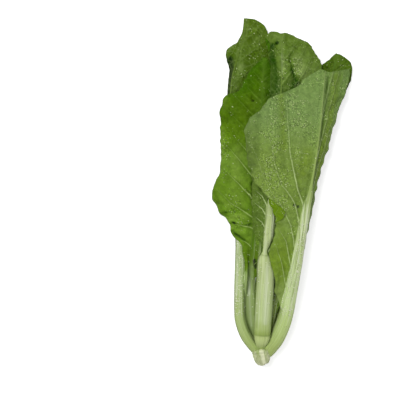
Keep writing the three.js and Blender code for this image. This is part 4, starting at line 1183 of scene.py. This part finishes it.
class Graph:
    """Shader nodes of one material, made by short calls that return sockets."""

    add, sub, mul = (math_call(operation) for operation in ("ADD", "SUBTRACT", "MULTIPLY"))
    div, most = (math_call(operation) for operation in ("DIVIDE", "MAXIMUM"))

    def __init__(self, name, shader="ShaderNodeBsdfPrincipled"):
        self.material = bpy.data.materials.new(name)
        self.material.use_nodes = True
        self.tree = self.material.node_tree
        self.tree.nodes.clear()
        self.output = self.node("ShaderNodeOutputMaterial")
        self.surface = self.node(shader)
        self.put(self.output.inputs[0], self.surface.outputs[0])

    def node(self, kind, inputs=(), **settings):
        node = self.tree.nodes.new(kind)
        for key, value in settings.items():
            setattr(node, key, value)
        for key, value in dict(inputs).items():
            self.put(node.inputs[key], value)
        return node

    def put(self, socket, value):
        if isinstance(value, bpy.types.NodeSocket):
            self.tree.links.new(value, socket)
        else:
            socket.default_value = value

    def set(self, **values):
        for key, value in values.items():
            self.put(self.surface.inputs[key.replace("_", " ")], value)

    def attribute(self, name, output="Vector"):
        return self.node("ShaderNodeAttribute", attribute_name=name).outputs[output]

    def parts(self, vector):
        return self.node("ShaderNodeSeparateXYZ", {0: vector}).outputs[:]

    def vector(self, x, y, z):
        return self.node("ShaderNodeCombineXYZ", {0: x, 1: y, 2: z}).outputs[0]

    def vector_math(self, operation, inputs):
        return self.node("ShaderNodeVectorMath", inputs, operation=operation).outputs[0]

    def around_nought(self, value, width):
        """A noise of 0 to 1 as one of the given width round 0."""
        return self.mul(self.sub(value, 0.5), width)

    def off_whole(self, value):
        """The distance from the nearest whole number."""
        turns = self.node("ShaderNodeMath", {0: self.add(value, 0.5)}, operation="FRACT").outputs[0]
        return self.node("ShaderNodeMath", {0: self.sub(turns, 0.5)}, operation="ABSOLUTE").outputs[0]

    def rise(self, value, low, high, start=0.0, stop=1.0):
        """start below low, stop above high, smooth between."""
        inputs = {0: value, 1: low, 2: high, 3: start, 4: stop}
        return self.node("ShaderNodeMapRange", inputs, interpolation_type="SMOOTHSTEP").outputs[0]

    def fall(self, value, low, high):
        return self.rise(value, low, high, 1.0, 0.0)

    def mix(self, factor, a, b):
        return self.node("ShaderNodeMix", {0: factor, 6: a, 7: b}, data_type="RGBA").outputs[2]

    def tint(self, base, shade, *factors):
        """The base with a shade laid over it, as strong as the product of the factors."""
        return self.mix(self.mul(*factors), base, colour(*shade))

    def ramp(self, factor, table):
        node = self.node("ShaderNodeValToRGB", {0: factor})
        ramp = node.color_ramp
        ramp.interpolation = "EASE"
        while len(ramp.elements) < len(table):
            ramp.elements.new(0.5)
        for element, (position, shade) in zip(ramp.elements, table):
            element.position = position
            element.color = colour(*shade)
        return node.outputs[0]

    def noise(self, vector, scale, detail=2.0, roughness=0.5, distortion=0.0, output=0):
        inputs = {
            "Vector": vector, "Scale": scale, "Detail": detail, "Roughness": roughness,
            "Distortion": distortion,
        }
        return self.node("ShaderNodeTexNoise", inputs).outputs[output]

    def cells(self, vector, scale, feature="F1"):
        inputs = {"Vector": vector, "Scale": scale}
        return self.node("ShaderNodeTexVoronoi", inputs, feature=feature).outputs

    def bump(self, height):
        """height is in metres."""
        inputs = {"Strength": 0.9, "Distance": 1.0, "Height": height}
        return self.node("ShaderNodeBump", inputs).outputs["Normal"]


def leaf_material(name, look):
    g = Graph(name)
    place, veins, zone = (g.attribute(key) for key in ("leaf_place", "leaf_veins", "leaf_zone"))
    (x, w, seed), (phase, gap, rel), (off_rib, margin, shade_and_tone) = map(g.parts, (place, veins, zone))
    share, face, olive, wetness = (
        g.attribute(f"leaf_{key}", "Fac") for key in ("share", "face", "olive", "wet")
    )

    # Place on the leaf, bent a little, so that no line of the net is straight.
    bend = g.vector_math("SUBTRACT", {0: g.noise(place, 0.12, output=1), 1: (0.5, 0.5, 0.5)})
    bend = g.vector_math("SCALE", {0: bend, "Scale": 5.0})
    bent = g.vector_math("ADD", {0: place, 1: bend})

    # Side veins: the distance to the nearest one, in millimetres, and the slight ones between them.
    phase_there = g.add(phase, g.around_nought(g.noise(place, 0.09), 0.1))
    away = g.div(g.mul(g.off_whole(phase_there), gap), g.rise(rel, 0.0, 0.85, 0.72, 0.2))
    fade = g.mul(g.rise(margin, 0.5, 6.0), g.rise(rel, 0.2, 1.0, 1.0, 0.35))
    vein_from, vein_to = look["vein_fade"]
    line = g.mul(g.fall(away, 0.3, 1.3), fade, g.rise(share, vein_from, vein_to, 1.0, look["vein_rest"]))
    shade_beside_veins = g.mul(g.rise(away, 0.9, 1.8), g.fall(away, 2.4, 6.0), fade)
    quarter = g.mul(g.off_whole(g.mul(phase_there, 4.0)), gap, 0.25)
    roomy = g.rise(gap, 5.0, 12.0)
    slight = g.mul(g.fall(quarter, 0.1, 0.5), g.rise(margin, 2.0, 8.0), roomy)
    slight = g.mul(slight, g.rise(g.noise(place, 0.13), 0.4, 0.6))
    wrinkles = g.noise(g.vector(g.mul(phase, 4.0), g.mul(w, 0.12), seed), 1.0, 3.0, 0.6, 0.6)

    # The net between them, in two sizes.
    net = g.fall(g.cells(bent, 0.16, "DISTANCE_TO_EDGE")[0], 0.015, 0.11)
    net = g.mul(net, g.rise(g.noise(place, 0.05, 1.0), 0.35, 0.65, 0.35, 1.0))
    fine = g.fall(g.cells(bent, 0.46, "DISTANCE_TO_EDGE")[0], 0.02, 0.2)

    # Petiole and midrib, with streaks and strands along them.
    rib = g.fall(g.add(off_rib, g.around_nought(g.noise(place, 0.25), 0.7)), -0.35, 0.5)
    halo = g.fall(off_rib, 0.0, 4.5)
    streaks = g.noise(g.vector(g.mul(x, 0.035), w, seed), 0.85, 3.0, 0.62)
    strands = g.noise(g.vector(g.mul(x, 0.008), w, seed), 1.9, 1.0)

    # Dew: fine beads of water in clusters, each a painted glint with a painted shadow on one side.
    wet = g.mul(g.rise(g.noise(place, 0.085, 3.0, 0.62), 0.44, 0.58, 0.08, 1.0), wetness)
    stalk_wet = g.mul(g.rise(share, 0.08, 0.14), g.rise(share, 0.4, 0.5, 1.0, 0.1), look["stalk_dew"])
    chosen = g.sub(1.0, g.mul(g.mix(rib, wet, stalk_wet), 0.75))
    shifted = g.vector_math("ADD", {0: bent, 1: DEW_SHIFT})
    (reach, bead_colour, *_), (beneath, shade_colour, *_) = (g.cells(v, DEW_SCALE) for v in (bent, shifted))
    lucky, large, _ = g.parts(bead_colour)
    reach = g.sub(reach, g.add(g.mul(rib, 0.05), g.mul(large, 0.12)))
    bead = g.mul(g.fall(reach, 0.18, 0.36), g.rise(g.sub(lucky, chosen), 0.0, 0.06))
    shade = g.mul(g.fall(beneath, 0.24, 0.48), g.rise(g.sub(g.parts(shade_colour)[0], chosen), 0.0, 0.06))

    # Colour of the blade, on the outer and on the inner face. It is darker or paler with the tone: a random
    # cloud plus the bands, which are mostly painted shade and painted highlights. The deepest tone is
    # painted shade in holes and gaps, and a few dark specks.
    mottle, grain = g.noise(place, 0.28, 4.0, 0.6), g.noise(place, 0.72, 3.0, 0.7)
    tone = g.add(g.around_nought(g.noise(place, 0.045, 3.0, 0.55), 1.1), shade_and_tone)
    darker, paler, deep_shade_and_specks = g.fall(tone, -1.3, 0.0), g.rise(tone, 0.0, 1.3), g.fall(tone, -2.8, -1.5)

    def blade(greens, dark, pale, vein):
        base = g.mix(darker, g.ramp(share, greens), colour(*dark))
        base = g.tint(base, DEEP_SHADE_AND_SPECKS, deep_shade_and_specks)
        base = g.tint(base, OLIVE_GREEN, olive)
        base = g.tint(base, pale, paler)
        base = g.tint(base, pale, halo, 0.12)
        # Painted shade beside each vein, where the blade bulges between the veins.
        base = g.tint(base, dark, shade_beside_veins, 0.24 * look["vein"])
        base = g.tint(base, pale, net, look["net"])
        base = g.tint(base, vein, slight, 0.05 * look["vein"])
        return g.tint(base, vein, line, look["vein"])

    blade_outer = blade(look["outer"], look["dark"], PALE_OUTER, VEIN_OUTER)
    surface = g.mix(face, blade_outer, blade(look["inner"], DARK_INNER, PALE_INNER, VEIN_INNER))
    speckle = g.mul(g.rise(grain, 0.36, 0.64, -1.0, 1.0), g.rise(wet, 0.02, 0.5, 0.07, 0.42))
    close = g.rise(gap, 5.0, 12.0, 0.25, 1.0)
    value = g.add(g.rise(mottle, 0.3, 0.7, -0.12, 0.12), speckle)
    value = g.add(value, g.mul(g.rise(wrinkles, 0.3, 0.7, -0.06, 0.06), close), 1.0)
    surface = g.node("ShaderNodeHueSaturation", {"Value": value, "Color": surface}).outputs[0]

    # Colour of the petiole and the midrib. The bands darken it with painted shade and darker tone, and
    # lighten it with painted highlights and pale streaks.
    stalk = g.mix(face, g.ramp(share, look["outer_stalk"]), g.ramp(share, look["inner_stalk"]))
    stalk = g.tint(stalk, STALK_SHADE, g.rise(shade_and_tone, -1.2, 0.0, 0.9, 0.0))
    stalk = g.tint(stalk, STALK_PALE_AND_HIGHLIGHT, g.rise(shade_and_tone, 0.0, 1.2, 0.0, 0.9))
    stalk = g.tint(stalk, DEEP_SHADE_AND_SPECKS, deep_shade_and_specks)
    marks = look["marks"]
    marked = g.mul(g.rise(share, 0.05, 0.2, 0.35 * marks, marks), g.rise(share, 0.5, 0.62, 1.0, 0.12))
    stalk = g.tint(stalk, STREAK, g.rise(streaks, 0.44, 0.66, 0.0, 0.55), marked)
    stalk = g.tint(stalk, STRAND, g.rise(strands, 0.52, 0.66, 0.0, 0.6), marked)

    # Dew over both, as painted glints and painted shade, small blemishes, and the dry, slightly darker line
    # of the margin.
    shown = g.tint(g.mix(rib, surface, stalk), DEW_SHADE, shade, g.rise(rib, 0.0, 1.0, 0.6, 0.22))
    shown = g.mix(g.mul(bead, 0.85), shown, g.mix(rib, colour(*DEW_GLINT_ON_BLADE), colour(*DEW_GLINT_ON_STALK)))
    spot = g.mul(g.fall(g.cells(place, 0.06)[0], 0.022, 0.04), g.rise(off_rib, 1.0, 2.0))
    shown = g.tint(shown, BLEMISH, spot, 0.7)
    shown = g.tint(shown, DRY_MARGIN, g.rise(margin, 0.0, 0.9, 0.4, 0.0))

    # Relief. The veins and the net stand out on the outer face and sink in on the inner.
    relief = g.add(*(g.mul(part, RELIEF[key]) for key, part in dict(net=net, fine=fine, line=line).items()))
    relief = g.mul(relief, g.sub(1.0, g.mul(face, 2.0)))
    others = dict(grain=grain, mottle=mottle, wrinkles=g.mul(wrinkles, close))
    relief = g.add(relief, *(g.mul(part, RELIEF[key]) for key, part in others.items()))
    relief = g.mul(relief, g.sub(1.0, rib))
    ridges = g.mul(g.add(streaks, strands), rib, RELIEF["ridges"])
    relief = g.add(relief, ridges, g.mul(bead, RELIEF["bead"]))
    g.set(
        Base_Color=shown,
        Roughness=g.mix(rib, g.rise(mottle, 0.3, 0.7, 0.5, 0.62), g.rise(streaks, 0.3, 0.7, 0.36, 0.5)),
        Normal=g.bump(relief),
        Specular_IOR_Level=look["specular"],
    )
    return g.material


def stem_material():
    g = Graph("stem_flesh")
    place = g.attribute("stem_place")
    px, pz, along = g.parts(place)
    radius, cut = (g.attribute(key, "Fac") for key in ("stem_radius", "stem_cut"))
    fibres = g.noise(g.vector(px, pz, g.mul(along, 0.1)), 1.3, 3.0, 0.6)
    cloud = g.noise(place, 0.22, 3.0)
    grain = g.noise(place, 2.5, 3.0, 0.6)
    side = g.ramp(g.rise(along, -12.0, 3.0), STEM_SKIN)
    side = g.tint(side, STEM_FIBRE, g.rise(fibres, 0.42, 0.6, 0.0, 0.75))
    side = g.tint(side, STEM_CLOUD, g.rise(cloud, 0.5, 0.68, 0.0, 0.6))
    # A painted highlight: a pale strip down the upper side of the stem base, slightly skewed.
    skew = g.add(px, g.mul(along, 0.1))
    strip = g.node("ShaderNodeMath", {0: skew}, operation="ABSOLUTE").outputs[0]
    side = g.tint(side, STEM_HIGHLIGHT, g.fall(strip, 1.0, 2.6), g.rise(pz, 0.0, 2.0), 0.85)
    rings = g.ramp(g.div(radius, 6.0), STEM_RINGS)
    shown = g.mix(cut, side, g.tint(rings, STEM_GRAIN, g.rise(grain, 0.42, 0.7, 0.0, 0.5)))
    spots = g.fall(g.cells(place, 0.55)[0], 0.12, 0.3)
    shown = g.tint(shown, STEM_SPOT, spots, g.rise(along, -10.4, -8.4, 1.0, 0.12), 0.75)
    g.set(
        Base_Color=shown,
        Roughness=g.rise(cloud, 0.3, 0.7, 0.45, 0.62),
        Normal=g.bump(g.add(g.mul(fibres, RELIEF["stem_fibres"]), g.mul(grain, RELIEF["stem_grain"]))),
        Specular_IOR_Level=0.4,
    )
    return g.material


def water_material():
    g = Graph("water_bead")
    drift = g.noise(g.node("ShaderNodeNewGeometry").outputs["Position"], 400.0)
    # The pale base colour stands in for the glint of light on clear water: a painted highlight.
    g.set(
        Base_Color=g.mix(g.rise(drift, 0.3, 0.7), colour(*BEAD_GLINT_DIM), colour(*BEAD_GLINT_BRIGHT)),
        Roughness=g.rise(drift, 0.3, 0.7, 0.03, 0.07),
        Transmission_Weight=0.35,
        IOR=1.33,
    )
    return g.material


# ---------------------------------------------------------------- the head

pile = Pile()
grids = {}
for number, name in enumerate(PILE_ORDER):
    grid = leaf_surface(name, LEAVES[name], seed=100 + 17 * number)
    grid["seed"] = 40.0 * number
    outer = BLADE_HALF + RIB_DEPTH * ridge_width(grid) * (np.abs(grid["w"]) < grid["rib"])
    under, over = (BLADE_HALF, outer) if grid["outward"] > 0 else (outer, BLADE_HALF)
    pile.settle(grid, under, over)
    grids[name] = grid

water = water_material()
for name, grid in grids.items():
    look = PLAIN_LOOK | LOOKS.get(name, {})
    drops = None
    if name in DROPS:
        count, bias = DROPS[name]
        drops = drops_on(grid, pile, count, seed=sum(map(ord, name)), bias=bias)
    leaf_piece(name, grid, look, [leaf_material(name, look), water], drops)
stem_piece("stem_base", stem_material())

# ---------------------------------------------------------------- floor, light and camera


def stage_piece():
    """A white studio sweep: a flat floor that curves up into a round wall."""
    sides, drop = 48, 0.0002
    outline = [(0.8, 0), (3.2, 0), (4.2, 0.25), (4.8, 0.9), (5, 1.8), (5, 3.6)]
    turn = np.linspace(0, TURN, sides, endpoint=False)
    points = [(0, 0, -drop)]
    points += [(r * math.cos(a), r * math.sin(a), z - drop) for r, z in outline for a in turn]
    rings = 1 + np.arange(len(outline) * sides).reshape(-1, sides)
    onward = np.roll(rings, -1, axis=1)
    faces = [(0, *pair) for pair in zip(rings[0], onward[0])]
    corners = rings[:-1], rings[1:], onward[1:], onward[:-1]
    faces += np.stack(corners, -1).reshape(-1, 4).tolist()
    mesh = bpy.data.meshes.new("floor")
    mesh.from_pydata(points, [], faces)
    mesh.polygons.foreach_set("use_smooth", [True] * len(faces))
    floor = bpy.data.objects.new("floor", mesh)
    bpy.context.scene.collection.objects.link(floor)
    g = Graph("floor_white", "ShaderNodeAddShader")
    rays = g.node("ShaderNodeLightPath").outputs
    seen = g.most(*(rays[f"Is {kind} Ray"] for kind in ("Camera", "Glossy", "Transmission")))
    diffuse = g.node("ShaderNodeBsdfDiffuse", {0: FLOOR_GREY})
    glow = g.node("ShaderNodeEmission", {1: g.mul(seen, FLOOR_GLOW)})
    for socket, shader in zip(g.surface.inputs, (diffuse, glow)):
        g.put(socket, shader.outputs[0])
    mesh.materials.append(g.material)


def area_light(name, location, size, power):
    """A round lamp that points at the middle of the head."""
    data = bpy.data.lights.new(name, "AREA")
    data.shape = "DISK"
    data.size = size
    data.energy = power
    lamp = bpy.data.objects.new(name, data)
    lamp.location = location
    lamp.rotation_euler = (-Vector(location)).to_track_quat("-Z", "Y").to_euler()
    bpy.context.scene.collection.objects.link(lamp)


stage_piece()
area_light("soft_key", (-0.6, 0.5, 1.5), 0.8, 17)
area_light("soft_fill", (0.8, -0.6, 1.3), 1.0, 3)
world = bpy.data.worlds.new("studio")
world.use_nodes = True
background = world.node_tree.nodes["Background"]
background.inputs[0].default_value = (1, 1, 1, 1)
background.inputs[1].default_value = SKY_GLOW
bpy.context.scene.world = world

camera_data = bpy.data.cameras.new("camera")
camera_data.lens = 85
camera_data.sensor_width = 36
camera = bpy.data.objects.new("camera", camera_data)
camera.location = to_frame(np.array([-56.7, 136.8, 875.0]))
bpy.context.scene.collection.objects.link(camera)
bpy.context.scene.camera = camera
bpy.context.scene.view_settings.view_transform = "Standard"
